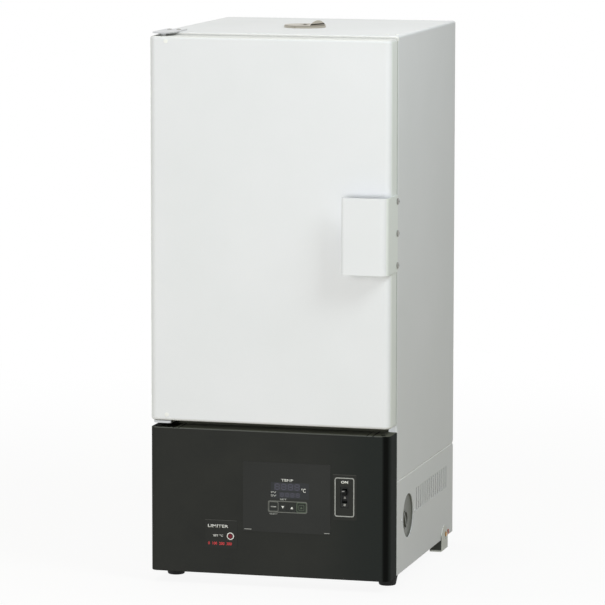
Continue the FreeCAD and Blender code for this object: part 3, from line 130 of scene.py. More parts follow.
# A finish is cloudy patches and a finer grain between two tones. Their sizes and the depth of the relief are
# in millimetres; stretch draws the grain out along an axis, and each zone lays a tone over a part
def finish(name, look):
    material = bpy.data.materials.new(name)
    tree = emptyTree(material)
    where = addNode(tree, "ShaderNodeTexCoord").outputs["Object"]
    stretched = addNode(tree, "ShaderNodeMapping", {"Scale": look.get("stretch", (1, 1, 1))},
                        {"Vector": where}).outputs["Vector"]
    patches = addNode(tree, "ShaderNodeTexNoise", {"Scale": perMetre / look["patch"], "Detail": 3.0},
                      {"Vector": where}).outputs["Fac"]
    grain = addNode(tree, "ShaderNodeTexNoise", {"Scale": perMetre / look["grain"], "Detail": 2.0},
                    {"Vector": stretched}).outputs["Fac"]
    mixed = addNode(tree, "ShaderNodeMath", {"operation": "MULTIPLY_ADD",
                                             1: look.get("grainShare", usualGrainShare)},
                    {0: grain, 2: patches}).outputs[0]
    spread = addNode(tree, "ShaderNodeMapRange", {"From Min": toneSpread[0], "From Max": toneSpread[1]},
                     {"Value": mixed}).outputs["Result"]
    colour = addNode(tree, "ShaderNodeMix", {"data_type": "RGBA", 6: linear(look["shade"]),
                                             7: linear(look["colour"])}, {0: spread}).outputs[2]
    for zone in look.get("zones", ()):
        colour = addNode(tree, "ShaderNodeMix", {"data_type": "RGBA", 7: linear(zone["colour"])},
                         {0: zoneMask(tree, where, zone["limits"]), 6: colour}).outputs[2]
    low, high = look["roughness"]
    rough = addNode(tree, "ShaderNodeMapRange", {
        "From Min": grainSpread[0], "From Max": grainSpread[1], "To Min": low, "To Max": high},
        {"Value": grain}).outputs["Result"]
    bump = addNode(tree, "ShaderNodeBump", {"Strength": look["relief"], "Distance": look["depth"] * mm},
                   {"Height": grain})
    constants = {"Metallic": look.get("metallic", 0.0)}
    constants.update(look.get("shader", {}))
    shader = addNode(tree, "ShaderNodeBsdfPrincipled", constants,
                     {"Base Color": colour, "Roughness": rough, "Normal": bump.outputs["Normal"]})
    addNode(tree, "ShaderNodeOutputMaterial", {}, {"Surface": shader.outputs[0]})
    return material


# Powder coat on steel sheet, sprayed and baked: an even off-white with a faint orange peel and a soft gloss.
# The zones are painted light and shade: painted shade on the casing's edge in the gap beside the door,
# painted light on the door's sides, painted shade that dims the highlight on the door's top edge, and
# painted light on the casing's front return over it, which the door shades
sprayedCoat = {"grain": 2.4, "depth": 0.03, "relief": 0.25, "roughness": (0.50, 0.58),
               "shader": {"IOR": 1.5, "Specular IOR Level": 0.35}}
powderCoat = finish("powderCoatedSteel", {
    **sprayedCoat, "colour": "#E3E5E9", "shade": "#DEE1E4", "patch": 160,
    "zones": ({"colour": "#C0C4C0", "limits": (("out", 199.0, 203.0), ("y", 49.4, 48.6), ("y", 45.0, 46.0),
                                               ("z", 270.0, 274.0))},
              {"colour": "#E9EEEC", "limits": (("out", 202.0, 203.5), ("y", 40.0, 38.0))},
              {"colour": "#D6D8D7", "limits": (("z", 906.5, 909.5), ("y", 40.0, 38.0))},
              {"colour": "#F2F3F1", "limits": (("z", 905.0, 907.0), ("z", 913.4, 912.2), ("y", 53.0, 50.0),
                                               ("y", 45.0, 46.0))})})
# The same coat on the rear foot brackets, with painted shade: the web under the cabinet is painted dark
footCoat = finish("powderCoatedBracket", {
    **sprayedCoat, "colour": "#DEE0DC", "shade": "#D6D8D3", "patch": 40,
    "zones": ({"colour": "#2E302B", "limits": (("out", 205.2, 204.9), ("y", 378.2, 377.6),
                                               ("z", 1.0, 4.0))},)})
# Painted highlight in the seam: the coat's tone, glossier and a little lighter, for the light caught on the
# bend
seamHighlight = finish("paintedSeamHighlight", {
    "colour": "#F2F3F2", "shade": "#ECEDEB", "patch": 30, "grain": 3.0, "depth": 0.03, "relief": 0.3,
    "roughness": (0.35, 0.45), "shader": {"IOR": 1.5, "Specular IOR Level": 0.4}})
# Moulded black ABS with a fine spark texture: dull all over. The zones are painted light and shade:
# painted shade on the front's right part, its rounded corner and its side, painted light on the greyer top,
# a painted highlight on the top edge, and painted shade by the hinge and in the slots and grooves of the top
coverTop = ("z", 260.8, 261.1)
coverEdge = ("z", 259.7, 260.5)
slotShade = "#0A0B09"
blackAbs = finish("mouldedBlackAbs", {
    "colour": "#323331", "shade": "#2D2E2D", "patch": 60, "grain": 1.1, "depth": 0.04, "relief": 0.35,
    "roughness": (0.76, 0.86), "shader": {"IOR": 1.5, "Specular IOR Level": 0.09},
    "zones": ({"colour": "#272A29", "limits": (("x", 60.0, 185.0),)},
              {"colour": "#080908", "limits": (("x", 190.0, 195.5), ("x", 205.4, 200.0),
                                               ("z", 262.0, 259.0))},
              {"colour": "#121311", "limits": (("x", 204.6, 205.6),)},
              {"colour": "#64665C", "limits": (coverTop, ("y", 1.0, 2.0))},
              {"colour": "#5A5C59", "limits": (coverEdge, ("y", 1.4, 0.6))},
              {"colour": slotShade, "limits": (coverTop, ("y", 3.0, 5.0), ("x", -160.0, -164.0))},
              {"colour": slotShade, "limits": (coverTop, ("x", -157.6, -156.8), ("x", -154.6, -155.4))},
              {"colour": slotShade, "limits": (coverEdge, ("x", 174.4, 175.2), ("x", 177.4, 176.6))},
              {"colour": slotShade, "limits": (coverTop, ("x", 187.0, 188.0), ("x", 195.0, 194.0),
                                               ("y", 6.0, 7.0), ("y", 15.0, 14.0))})})
# Printed polyester film: a shade lighter and smoother than the moulding round it
overlayFilm = finish("printedPolyesterFilm", {
    "colour": "#303130", "shade": "#2C2D2C", "patch": 90, "grain": 0.8, "depth": 0.01, "relief": 0.2,
    "roughness": (0.32, 0.4), "shader": {"IOR": 1.5, "Specular IOR Level": 0.13}})
# Film of the small plates: nearly the tone of the moulding
plateFilm = finish("printedPlateFilm", {
    "colour": "#272826", "shade": "#242523", "patch": 60, "grain": 0.8, "depth": 0.01, "relief": 0.2,
    "roughness": (0.5, 0.58), "shader": {"IOR": 1.5, "Specular IOR Level": 0.2}})
# Tinted acrylic lens: nearly black and smooth
tintedAcrylic = finish("tintedAcrylic", {
    "colour": "#2C2E30", "shade": "#292B2D", "patch": 70, "grain": 2.0, "depth": 0.01, "relief": 0.1,
    "roughness": (0.3, 0.38), "shader": {"IOR": 1.49, "Specular IOR Level": 0.25}})
# Stainless sheet with a brushed grain along the width: streaked soft reflections
brushedSheet = {"colour": "#C9C7C1", "shade": "#B9B7B1", "patch": 120, "grain": 1.2, "stretch": (0.03, 1, 1),
                "depth": 0.02, "relief": 0.2, "grainShare": 0.6, "metallic": 1.0}
brushedStainless = finish("brushedStainlessSheet", {
    **brushedSheet, "roughness": (0.26, 0.38), "shader": {"Anisotropic": 0.4}})
# Stainless front frame: the same sheet, a little duller, with painted shade along the strip under the door
frameStainless = finish("shadedStainlessFrame", {
    **brushedSheet, "roughness": (0.3, 0.42),
    "zones": ({"colour": "#62645A", "limits": (("z", 276.0, 272.0),)},)})
# Hot-dip galvanised sheet: grey with cloudy spangle
hotDipSheet = {"colour": "#B7BBBC", "shade": "#9EA3A5", "patch": 14, "grain": 5.0, "depth": 0.01,
               "relief": 0.15, "grainShare": 0.8, "metallic": 1.0, "roughness": (0.34, 0.5)}
galvanisedSheet = finish("galvanisedSheet", hotDipSheet)
# Galvanised frame under the door: painted shade turns its top strip olive-grey
framePlate = finish("shadedGalvanisedPlate", {
    **hotDipSheet, "zones": ({"colour": "#5E6055", "limits": (("z", 240.0, 244.0),)},)})
# Hinge plates, polished once and satin by now: middling bright; painted shade on the lower flange in the gap
hingeSteel = finish("polishedHingeSteel", {
    "colour": "#D3D5D6", "shade": "#C8CACB", "patch": 20, "grain": 1.0, "depth": 0.01, "relief": 0.2,
    "metallic": 1.0, "roughness": (0.3, 0.42),
    "zones": ({"colour": "#1C1D1A", "limits": (("y", 43.5, 44.5), ("z", 272.0, 270.0))},)})
# Oil-soaked sintered bush of the hinges: dull grey-brown
sinteredBush = finish("sinteredBush", {
    "colour": "#8F8B83", "shade": "#7E7A73", "patch": 8, "grain": 0.6, "depth": 0.02, "relief": 0.2,
    "metallic": 1.0, "roughness": (0.45, 0.58)})
# Satin stainless of the exhaust: warmer and duller than the chamber sheet, with painted shade in the gap
# under the disc
satinStainless = finish("satinStainlessSheet", {
    "colour": "#C2BDB1", "shade": "#B1ACA1", "patch": 30, "grain": 1.0, "stretch": (0.05, 1, 1),
    "depth": 0.02, "relief": 0.2, "grainShare": 0.6, "metallic": 1.0, "roughness": (0.34, 0.46),
    "zones": ({"colour": "#3C3832", "limits": (("z", 918.6, 919.0), ("z", 921.4, 920.8))},)})
# Electropolished stainless wire: bright with a slight unevenness
polishedWire = finish("electropolishedWire", {
    "colour": "#D3D2CE", "shade": "#C2C1BC", "patch": 30, "grain": 3.0, "depth": 0.02, "relief": 0.2,
    "metallic": 1.0, "roughness": (0.14, 0.22)})
# Drawn steel tube, oiled and slightly dull
drawnTube = finish("drawnSteelTube", {
    "colour": "#A8AAA9", "shade": "#929493", "patch": 40, "grain": 1.5, "stretch": (1, 1, 0.05),
    "depth": 0.02, "relief": 0.25, "metallic": 1.0, "roughness": (0.32, 0.44)})
# Grey enamel inside the pressed dish: satin and darker than the casing,
# partly as painted shade in the recess
dishEnamel = finish("greySatinEnamel", {
    "colour": "#7A7C77", "shade": "#70726D", "patch": 50, "grain": 1.8, "depth": 0.03, "relief": 0.25,
    "roughness": (0.42, 0.5), "shader": {"IOR": 1.5, "Specular IOR Level": 0.35}})
# Mineral wool: matted yellow-brown fibres with a rough surface
mineralWool = finish("mineralWoolMat", {
    "colour": "#B7A876", "shade": "#8F8053", "patch": 18, "grain": 3.0, "stretch": (1, 0.35, 1),
    "depth": 1.2, "relief": 0.8, "grainShare": 0.8, "roughness": (0.88, 0.98)})
# Nickel-alloy sheath after many heatings: brown-grey, unevenly tinted
heatedSheath = finish("heatTintedSheath", {
    "colour": "#8A8074", "shade": "#5F574E", "patch": 22, "grain": 2.0, "depth": 0.02, "relief": 0.2,
    "metallic": 1.0, "roughness": (0.36, 0.52)})
# Glazed steatite: ivory with a soft gloss
glazedSteatite = finish("glazedSteatite", {
    "colour": "#E6E0D0", "shade": "#D5CDB9", "patch": 12, "grain": 1.5, "depth": 0.03, "relief": 0.3,
    "roughness": (0.18, 0.28), "shader": {"IOR": 1.52}})
# Moulded silicone: dark grey, dull, faintly dusty
siliconeRubber = finish("mouldedSilicone", {
    "colour": "#4A4B4D", "shade": "#3C3D3F", "patch": 20, "grain": 1.0, "depth": 0.05, "relief": 0.4,
    "roughness": (0.55, 0.7), "shader": {"IOR": 1.42}})
# Compression-moulded nitrile: black and matt, with a slightly uneven skin
nitrileRubber = finish("mouldedNitrile", {
    "colour": "#1C1C1C", "shade": "#131313", "patch": 15, "grain": 1.2, "depth": 0.08, "relief": 0.5,
    "roughness": (0.6, 0.78), "shader": {"IOR": 1.5, "Specular IOR Level": 0.3}})
# Nickel-plated steel: neutral and fairly bright
nickelPlate = finish("nickelPlatedSteel", {
    "colour": "#BDBBB6", "shade": "#A9A7A1", "patch": 6, "grain": 0.8, "depth": 0.01, "relief": 0.2,
    "metallic": 1.0, "roughness": (0.2, 0.32)})
# Zinc-plated screws, dulled: mid grey
zincPlate = finish("zincPlatedSteel", {
    "colour": "#B2B1AD", "shade": "#999894", "patch": 5, "grain": 0.8, "depth": 0.01, "relief": 0.2,
    "metallic": 1.0, "roughness": (0.3, 0.42)})
# Turned brass, lacquered: warm yellow
turnedBrass = finish("turnedBrass", {
    "colour": "#D2A567", "shade": "#B98A4C", "patch": 4, "grain": 0.6, "depth": 0.01, "relief": 0.2,
    "metallic": 1.0, "roughness": (0.2, 0.3)})
# Copper-plated screw: red-brown
copperPlate = finish("copperPlatedSteel", {
    "colour": "#B4573F", "shade": "#923F2B", "patch": 4, "grain": 0.6, "depth": 0.01, "relief": 0.2,
    "metallic": 1.0, "roughness": (0.26, 0.36)})
# Extruded aluminium: pale with fine die lines along its length
extrudedAluminium = finish("extrudedAluminium", {
    "colour": "#C7C8CA", "shade": "#B3B4B7", "patch": 25, "grain": 0.8, "stretch": (1, 0.04, 1),
    "depth": 0.02, "relief": 0.25, "metallic": 1.0, "roughness": (0.28, 0.4)})
# Glass-filled nylon housings: black with a dry, slightly mottled skin
filledNylon = finish("glassFilledNylon", {
    "colour": "#1E1F1F", "shade": "#161717", "patch": 12, "grain": 0.9, "depth": 0.03, "relief": 0.35,
    "roughness": (0.46, 0.6), "shader": {"IOR": 1.53, "Specular IOR Level": 0.3}})
# Moulded polyethylene caps: off-white with a waxy sheen
polyCap = finish("mouldedPolyethylene", {
    "colour": "#EEEFED", "shade": "#E6E7E4", "patch": 6, "grain": 1.0, "depth": 0.02, "relief": 0.2,
    "roughness": (0.4, 0.5), "shader": {"IOR": 1.5}})
# Solder mask on a glass-epoxy board: deep green, glossy over a faint weave
solderMask = finish("solderMaskBoard", {
    "colour": "#1F5A34", "shade": "#174728", "patch": 20, "grain": 1.0, "depth": 0.02, "relief": 0.3,
    "roughness": (0.22, 0.34), "shader": {"IOR": 1.52}})
# Moulded acetal of the dial: maroon with a soft sheen
maroonAcetal = finish("mouldedMaroonAcetal", {
    "colour": "#6E1F2A", "shade": "#5A1822", "patch": 5, "grain": 0.8, "depth": 0.02, "relief": 0.2,
    "roughness": (0.34, 0.44), "shader": {"IOR": 1.48, "Specular IOR Level": 0.3}})


# Screen-printed inks: flat and matt, slightly uneven
def ink(name, colour, shade):
    return finish(name, {"colour": colour, "shade": shade, "patch": 8, "grain": 0.7, "depth": 0.005,
                         "relief": 0.2, "roughness": (0.5, 0.6), "shader": {"Specular IOR Level": 0.3}})


whiteInk = ink("screenInkWhite", "#E4E5E2", "#D6D7D3")
paleInk = ink("screenInkPale", "#D0D1CE", "#C2C3C0")
frameInk = ink("screenInkFrame", "#A3A5A2", "#979996")
oliveInk = ink("screenInkOlive", "#6A6C68", "#60625E")
greyInk = ink("screenInkGrey", "#91918E", "#868683")
greenInk = ink("screenInkGreen", "#566253", "#4E594B")
redInk = ink("screenInkRed", "#D0494D", "#BC3F43")
edgeInk = ink("screenInkEdge", "#4A4B48", "#434441")
keyFace = ink("embossedKeyFilm", "#262826", "#212321")      # raised film over the keys, nearly black
dimSegment = ink("unlitSegment", "#4B4B57", "#454550")      # a digit that is off: dim violet-grey
displayShade = ink("displayShade", "#37383C", "#333438")    # the lit field round the digits, when it is off
print("materials made:", len(bpy.data.materials))

finishes = {
    powderCoat: ("upper_casing", "lower_side_left", "lower_side_right", "door_outer", "handle"),
    footCoat: ("rear_feet",),
    galvanisedSheet: ("rear_upper_panel", "rear_lower_panel", "base_pan", "deck"),
    framePlate: ("lower_frame",),
    hingeSteel: ("top_hinge", "bottom_hinge"),
    brushedStainless: ("inner_chamber", "door_liner", "heater_baffle", "exhaust_pipe", "door_striker",
                       "shelf_rails", "shelf_clips"),
    frameStainless: ("front_frame",),
    satinStainless: ("exhaust_collar", "exhaust_damper"),
    polishedWire: ("upper_shelf", "lower_shelf"),
    nickelPlate: ("exhaust_pin", "sensors", "cabinet_screws"),
    sinteredBush: ("hinge_bearings",),
    zincPlate: ("handle_screws",),
    heatedSheath: ("heater",),
    glazedSteatite: ("heater_bushings",),
    drawnTube: ("intake_tube", "intake_riser"),
    dishEnamel: ("intake_dish", "intake_knob"),
    mineralWool: ("insulation", "door_insulation"),
    siliconeRubber: ("door_gasket",),
    nitrileRubber: ("front_feet",),
    polyCap: ("door_plugs", "spare_plugs"),
    blackAbs: ("control_cover",),
    overlayFilm: ("control_overlay",),
    keyFace: ("key_mode", "key_down", "key_up", "key_run"),
    plateFilm: ("label_plates",),
    tintedAcrylic: ("display_window",),
    solderMask: ("control_board",),
    filledNylon: ("breaker_body", "breaker_lever", "limit_switch", "power_relay", "terminal_block",
                  "cord_gland", "catch_magnet"),
    maroonAcetal: ("limit_dial",),
    extrudedAluminium: ("heat_sink",),
}
for material, names in finishes.items():
    for name in names:
        for slot in nodes[name].material_slots:
            slot.material = material
print("nodes dressed")


# Pieces of the scene
def newPiece(name, mesh, body, material=None):
    if material:
        mesh.materials.append(material)
    mesh.name = name
    piece = newObject(name, mesh)
    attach(piece, body)
    return piece


def plainMesh(bm, name):
    bmesh.ops.recalc_face_normals(bm, faces=bm.faces)
    mesh = bpy.data.meshes.new(name)
    bm.to_mesh(mesh)
    bm.free()
    return mesh


# A carrier's shape with its modifiers or text worked out, as a plain mesh
def finalMesh(carrier):
    view = bpy.context.evaluated_depsgraph_get()
    mesh = bpy.data.meshes.new_from_object(carrier.evaluated_get(view))
    carrier.modifiers.clear()
    bpy.data.objects.remove(carrier)
    return mesh


# Repeated pieces are grown on points: each spot is a place, the turn of its copy and its size
def pointCloud(name, spots):
    mesh = bpy.data.meshes.new(name)
    mesh.from_pydata([spot[0] for spot in spots], [], [])
    turns = mesh.attributes.new("turn", "FLOAT_VECTOR", "POINT")
    sizes = mesh.attributes.new("size", "FLOAT_VECTOR", "POINT")
    for i, spot in enumerate(spots):
        turns.data[i].vector = spot[1].to_euler()
        sizes.data[i].vector = spot[2]
    return mesh


def newTree(name, sizes):
    tree = bpy.data.node_groups.new(name, "GeometryNodeTree")
    tree.interface.new_socket("Points", in_out="INPUT", socket_type="NodeSocketGeometry")
    for label, size in sizes.items():
        tree.interface.new_socket(label, in_out="INPUT", socket_type="NodeSocketFloat").default_value = size
    tree.interface.new_socket("Finish", in_out="INPUT", socket_type="NodeSocketMaterial")
    tree.interface.new_socket("Pieces", in_out="OUTPUT", socket_type="NodeSocketGeometry")
    return tree, addNode(tree, "NodeGroupInput").outputs


def sowOnPoints(tree, given, piece):
    turn = addNode(tree, "GeometryNodeInputNamedAttribute", {"data_type": "FLOAT_VECTOR", "Name": "turn"})
    size = addNode(tree, "GeometryNodeInputNamedAttribute", {"data_type": "FLOAT_VECTOR", "Name": "size"})
    turn = addNode(tree, "FunctionNodeEulerToRotation", {}, {"Euler": turn.outputs["Attribute"]})
    sown = addNode(tree, "GeometryNodeInstanceOnPoints", {}, {
        "Points": given["Points"], "Instance": piece, "Rotation": turn.outputs["Rotation"],
        "Scale": size.outputs["Attribute"]})
    real = addNode(tree, "GeometryNodeRealizeInstances", {}, {"Geometry": sown.outputs["Instances"]})
    dressed = addNode(tree, "GeometryNodeSetMaterial", {}, {"Geometry": real.outputs["Geometry"],
                                                            "Material": given["Finish"]})
    addNode(tree, "NodeGroupOutput", {}, {"Pieces": dressed.outputs["Geometry"]})


def grow(tree, cloud, settings):
    carrier = newObject("carrier", cloud)
    modifier = carrier.modifiers.new("grow", "NODES")
    modifier.node_group = tree
    for socket in tree.interface.items_tree:
        if socket.in_out == "INPUT" and socket.name in settings:
            modifier[socket.identifier] = settings[socket.name]
    return finalMesh(carrier)


def joinMeshes(meshes, name):
    bm = bmesh.new()
    materials = []
    for mesh in meshes:
        first = len(bm.faces)
        bm.from_mesh(mesh)
        bm.faces.ensure_lookup_table()
        materials.append([m for m in mesh.materials if m][0])
        for face in bm.faces[first:]:
            face.material_index = len(materials) - 1
    joined = plainMesh(bm, name)
    for material in materials:
        joined.materials.append(material)
    return joined


# A screw head: a domed disc with a cross or a single slot cut into it, standing on z = 0
screwDisc = {"Vertices": 28, "Fill Segments": 4}


def makeScrewTree():
    tree, given = newTree("screwHead", {"Radius": 0.003, "Height": 0.0012, "Dome": 0.0004,
                                        "Slot Length": 0.003, "Slot Width": 0.0006, "Slot Depth": 0.0006,
                                        "Cross": 1.0})
    disc = addNode(tree, "GeometryNodeMeshCylinder", screwDisc,
                   {"Radius": given["Radius"], "Depth": given["Height"]}).outputs["Mesh"]
    spot = addNode(tree, "ShaderNodeSeparateXYZ", {},
                   {0: addNode(tree, "GeometryNodeInputPosition").outputs["Position"]}).outputs
    # The rim drops by the dome, with the square of the distance from the middle, on the top face alone
    outX, outY = [addNode(tree, "ShaderNodeMath", {"operation": "DIVIDE"},
                          {0: spot[i], 1: given["Radius"]}).outputs[0] for i in (0, 1)]
    squareY = addNode(tree, "ShaderNodeMath", {"operation": "MULTIPLY"}, {0: outY, 1: outY}).outputs[0]
    out = addNode(tree, "ShaderNodeMath", {"operation": "MULTIPLY_ADD"},
                  {0: outX, 1: outX, 2: squareY}).outputs[0]
    domed = addNode(tree, "ShaderNodeMath", {"operation": "MULTIPLY"}, {0: out, 1: given["Dome"]}).outputs[0]
    onTop = addNode(tree, "ShaderNodeMath", {"operation": "GREATER_THAN", 1: 0.0}, {0: spot[2]}).outputs[0]
    drop = addNode(tree, "ShaderNodeMath", {"operation": "MULTIPLY"}, {0: domed, 1: onTop}).outputs[0]
    sink = addNode(tree, "ShaderNodeMath", {"operation": "MULTIPLY", 1: -1.0}, {0: drop}).outputs[0]
    lift = addNode(tree, "ShaderNodeMath", {"operation": "MULTIPLY_ADD", 1: 0.5},
                   {0: given["Height"], 2: sink}).outputs[0]
    head = addNode(tree, "GeometryNodeSetPosition", {}, {
        "Geometry": disc, "Offset": addNode(tree, "ShaderNodeCombineXYZ", {}, {"Z": lift}).outputs[0]})
    # Cross is 1 for a second slot as long as the first, and 0 for none
    deep = addNode(tree, "ShaderNodeMath", {"operation": "MULTIPLY", 1: 2.0},
                   {0: given["Slot Depth"]}).outputs[0]
    excess = addNode(tree, "ShaderNodeMath", {"operation": "SUBTRACT"},
                     {0: given["Slot Length"], 1: given["Slot Width"]}).outputs[0]
    crossLength = addNode(tree, "ShaderNodeMath", {"operation": "MULTIPLY_ADD"},
                          {0: given["Cross"], 1: excess, 2: given["Slot Width"]}).outputs[0]
    top = addNode(tree, "ShaderNodeCombineXYZ", {}, {"Z": given["Height"]}).outputs[0]
    cutters = []
    for long, wide in ((given["Slot Length"], given["Slot Width"]), (given["Slot Width"], crossLength)):
        size = addNode(tree, "ShaderNodeCombineXYZ", {}, {"X": long, "Y": wide, "Z": deep}).outputs[0]
        bar = addNode(tree, "GeometryNodeMeshCube", {}, {"Size": size}).outputs["Mesh"]
        cutters.append(addNode(tree, "GeometryNodeTransform", {},
                               {"Geometry": bar, "Translation": top}).outputs["Geometry"])
    cut = addNode(tree, "GeometryNodeMeshBoolean", {"operation": "DIFFERENCE"},
                  {"Mesh 1": head.outputs["Geometry"]})
    for cutter in cutters:
        tree.links.new(cutter, cut.inputs["Mesh 2"])
    sowOnPoints(tree, given, cut.outputs["Mesh"])
    return tree


# Which way each screw faces, with its own twist about its axis
outward = {"right": Matrix.Rotation(math.pi / 2, 3, "Y"), "left": Matrix.Rotation(-math.pi / 2, 3, "Y"),
           "up": Matrix.Identity(3), "front": Matrix.Rotation(math.pi / 2, 3, "X"),
           "back": Matrix.Rotation(-math.pi / 2, 3, "X")}
fullSize = Vector((1, 1, 1))
twistStep = 37      # degrees from one screw to the next, so that no two recesses line up


def screwSpots(side, places, twist):
    twists = [Matrix.Rotation(math.radians(twist + twistStep * i), 3, "Z") for i in range(len(places))]
    return [(place(*p), outward[side] @ turn, fullSize) for p, turn in zip(places, twists)]


screwSets = {
    "dish": {"spots": screwSpots("right", ((205, 83, 108.2), (205, 178.4, 108.2)), 20), "finish": powderCoat,
             "radius": 2.6, "height": 1.2, "dome": 0.4, "long": 3.0, "wide": 0.7, "deep": 0.7, "cross": 1.0},
    "hinge": {"spots": screwSpots("up", ((-194, 82, 916), (-178, 82, 916)), 12)
              + screwSpots("front", ((-194, 45, 253.3), (-178, 45, 253.3)), 50), "finish": nickelPlate,
              "radius": 3.8, "height": 1.2, "dome": 0.4, "long": 4.4, "wide": 0.9, "deep": 0.8, "cross": 1.0},
    "foot": {"spots": screwSpots("right", ((206.5, 407.7, 26.5),), 25)
             + screwSpots("left", ((-206.5, 407.7, 26.5),), 64), "finish": turnedBrass,
             "radius": 4.2, "height": 2.0, "dome": 0.5, "long": 9.0, "wide": 1.1, "deep": 1.1, "cross": 0.0},
    "earth": {"spots": screwSpots("right", ((205, 430, 26.5),), 70)
              + screwSpots("left", ((-205, 430, 26.5),), 10), "finish": copperPlate,
              "radius": 4.2, "height": 2.0, "dome": 0.5, "long": 4.8, "wide": 1.0, "deep": 1.1, "cross": 1.0},
    "rear": {"spots": screwSpots("back", [(x, 468, z) for x in (-196, 0, 196)
                                          for z in (28, 170, 187, 545, 905)
                                          if x or z in (170, 187, 905)], 15), "finish": nickelPlate,
             "radius": 3.4, "height": 1.6, "dome": 0.5, "long": 3.8, "wide": 0.8, "deep": 0.8, "cross": 1.0},
    "handle": {"spots": screwSpots("right", [(207, 35.5, z) for z in (539.8, 592.4, 645.0)], 8),
               "finish": zincPlate, "radius": 5.2, "height": 3.4, "dome": 1.4, "long": 5.6, "wide": 1.5,
               "deep": 1.8, "cross": 1.0},
}
screwTree = makeScrewTree()


def growScrews(name):
    kind = screwSets[name]
    return grow(screwTree, pointCloud(name, kind["spots"]), {
        "Radius": kind["radius"] * mm, "Height": kind["height"] * mm, "Dome": kind["dome"] * mm,
        "Slot Length": kind["long"] * mm, "Slot Width": kind["wide"] * mm,
        "Slot Depth": kind["deep"] * mm, "Cross": kind["cross"], "Finish": kind["finish"]})


cabinetScrews = newPiece("cabinetScrews", joinMeshes(
    [growScrews(name) for name in ("dish", "hinge", "foot", "earth", "rear")], "cabinetScrews"),
    "cabinet")
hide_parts("cabinet_screws")
gripScrews = newPiece("gripScrews", growScrews("handle"), "door")
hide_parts("handle_screws")
print("screws made")


# Display digits: seven six-sided bars each, all unlit
segmentSides = 6
halfOverRim = 0.577     # such a bar's rim lies 0.866 out, and this brings it to half of the thickness


def makeSegmentTree():
    tree, given = newTree("displaySegment", {"Length": 0.005, "Thickness": 0.001, "Depth": 0.0001})
    bar = addNode(tree, "GeometryNodeMeshCylinder", {"Vertices": segmentSides, "Radius": 1.0},
                  {"Depth": given["Depth"]}).outputs["Mesh"]
    spot = addNode(tree, "ShaderNodeSeparateXYZ", {},
                   {0: addNode(tree, "GeometryNodeInputPosition").outputs["Position"]}).outputs
    side = addNode(tree, "ShaderNodeMath", {"operation": "SIGN"}, {0: spot[0]}).outputs[0]
    half = addNode(tree, "ShaderNodeMath", {"operation": "MULTIPLY", 1: 0.5}, {0: given["Length"]}).outputs[0]
    body = addNode(tree, "ShaderNodeMath", {"operation": "SUBTRACT"},
                   {0: half, 1: given["Thickness"]}).outputs[0]
    shift = addNode(tree, "ShaderNodeMath", {"operation": "MULTIPLY"}, {0: side, 1: body}).outputs[0]
    along = addNode(tree, "ShaderNodeMath", {"operation": "MULTIPLY_ADD"},
                    {0: spot[0], 1: given["Thickness"], 2: shift}).outputs[0]
    wide = addNode(tree, "ShaderNodeMath", {"operation": "MULTIPLY", 1: halfOverRim},
                   {0: given["Thickness"]}).outputs[0]
    across = addNode(tree, "ShaderNodeMath", {"operation": "MULTIPLY"}, {0: spot[1], 1: wide}).outputs[0]
    point = addNode(tree, "ShaderNodeCombineXYZ", {}, {"X": along, "Y": spot[2], "Z": across}).outputs[0]
    shaped = addNode(tree, "GeometryNodeSetPosition", {}, {"Geometry": bar, "Position": point})
    sowOnPoints(tree, given, shaped.outputs["Geometry"])
    return tree


digitRows = ({"left": 9.2, "right": 52.2, "low": 164.7, "high": 175.6, "thick": 1.9},
             {"left": 18.3, "right": 52.2, "low": 153.2, "high": 160.3, "thick": 1.4})
digitPlace = {"count": 4, "gap": 2.2, "y": -0.53, "depth": 0.06, "between": 0.25}
upright = Matrix.Rotation(math.pi / 2, 3, "Y")


def digitSpots(row):
    pitch = (row["right"] - row["left"] + digitPlace["gap"]) / digitPlace["count"]
    wide = pitch - digitPlace["gap"] - row["thick"]
    half = (row["high"] - row["low"] - row["thick"]) / 2
    middle = (row["high"] + row["low"]) / 2
    spots = []
    for i in range(digitPlace["count"]):
        x = row["left"] + row["thick"] / 2 + i * pitch
        for k in (-1, 0, 1):
            spots.append((place(x + wide / 2, digitPlace["y"], middle + k * half), Matrix.Identity(3),
                          Vector((wide / half, 1, 1))))
        for k in (-0.5, 0.5):
            for side in (0, wide):
                spots.append((place(x + side, digitPlace["y"], middle + k * half), upright, fullSize))
    return spots, half


segmentTree = makeSegmentTree()
digitMeshes = []
for row in digitRows:
    spots, half = digitSpots(row)
    digitMeshes.append(grow(segmentTree, pointCloud("digits", spots), {
        "Length": (half - digitPlace["between"]) * mm, "Thickness": row["thick"] * mm,
        "Depth": digitPlace["depth"] * mm, "Finish": dimSegment}))
newPiece("displayDigits", joinMeshes(digitMeshes, "displayDigits"), "cabinet")
print("display digits made")


# Printed marks: thin closed slabs with their outline in x and z
cornerSteps = 6
leastRadius = 0.1
wordLook = {"resolution": 4, "weight": 0.03, "merge": 0.0001}
wordOrder = Vector((1.0, 0.031, 0.17))      # a skew line, along which words get the same order in every run


def roundedLoop(cx, cz, width, height, radius):
    loop = []
    for i, (sx, sz) in enumerate(((1, 1), (-1, 1), (-1, -1), (1, -1))):
        for k in range(cornerSteps + 1):
            angle = math.pi / 2 * (i + k / cornerSteps)
            loop.append((cx + sx * (width / 2 - radius) + radius * math.cos(angle),
                         cz + sz * (height / 2 - radius) + radius * math.sin(angle)))
    return loop


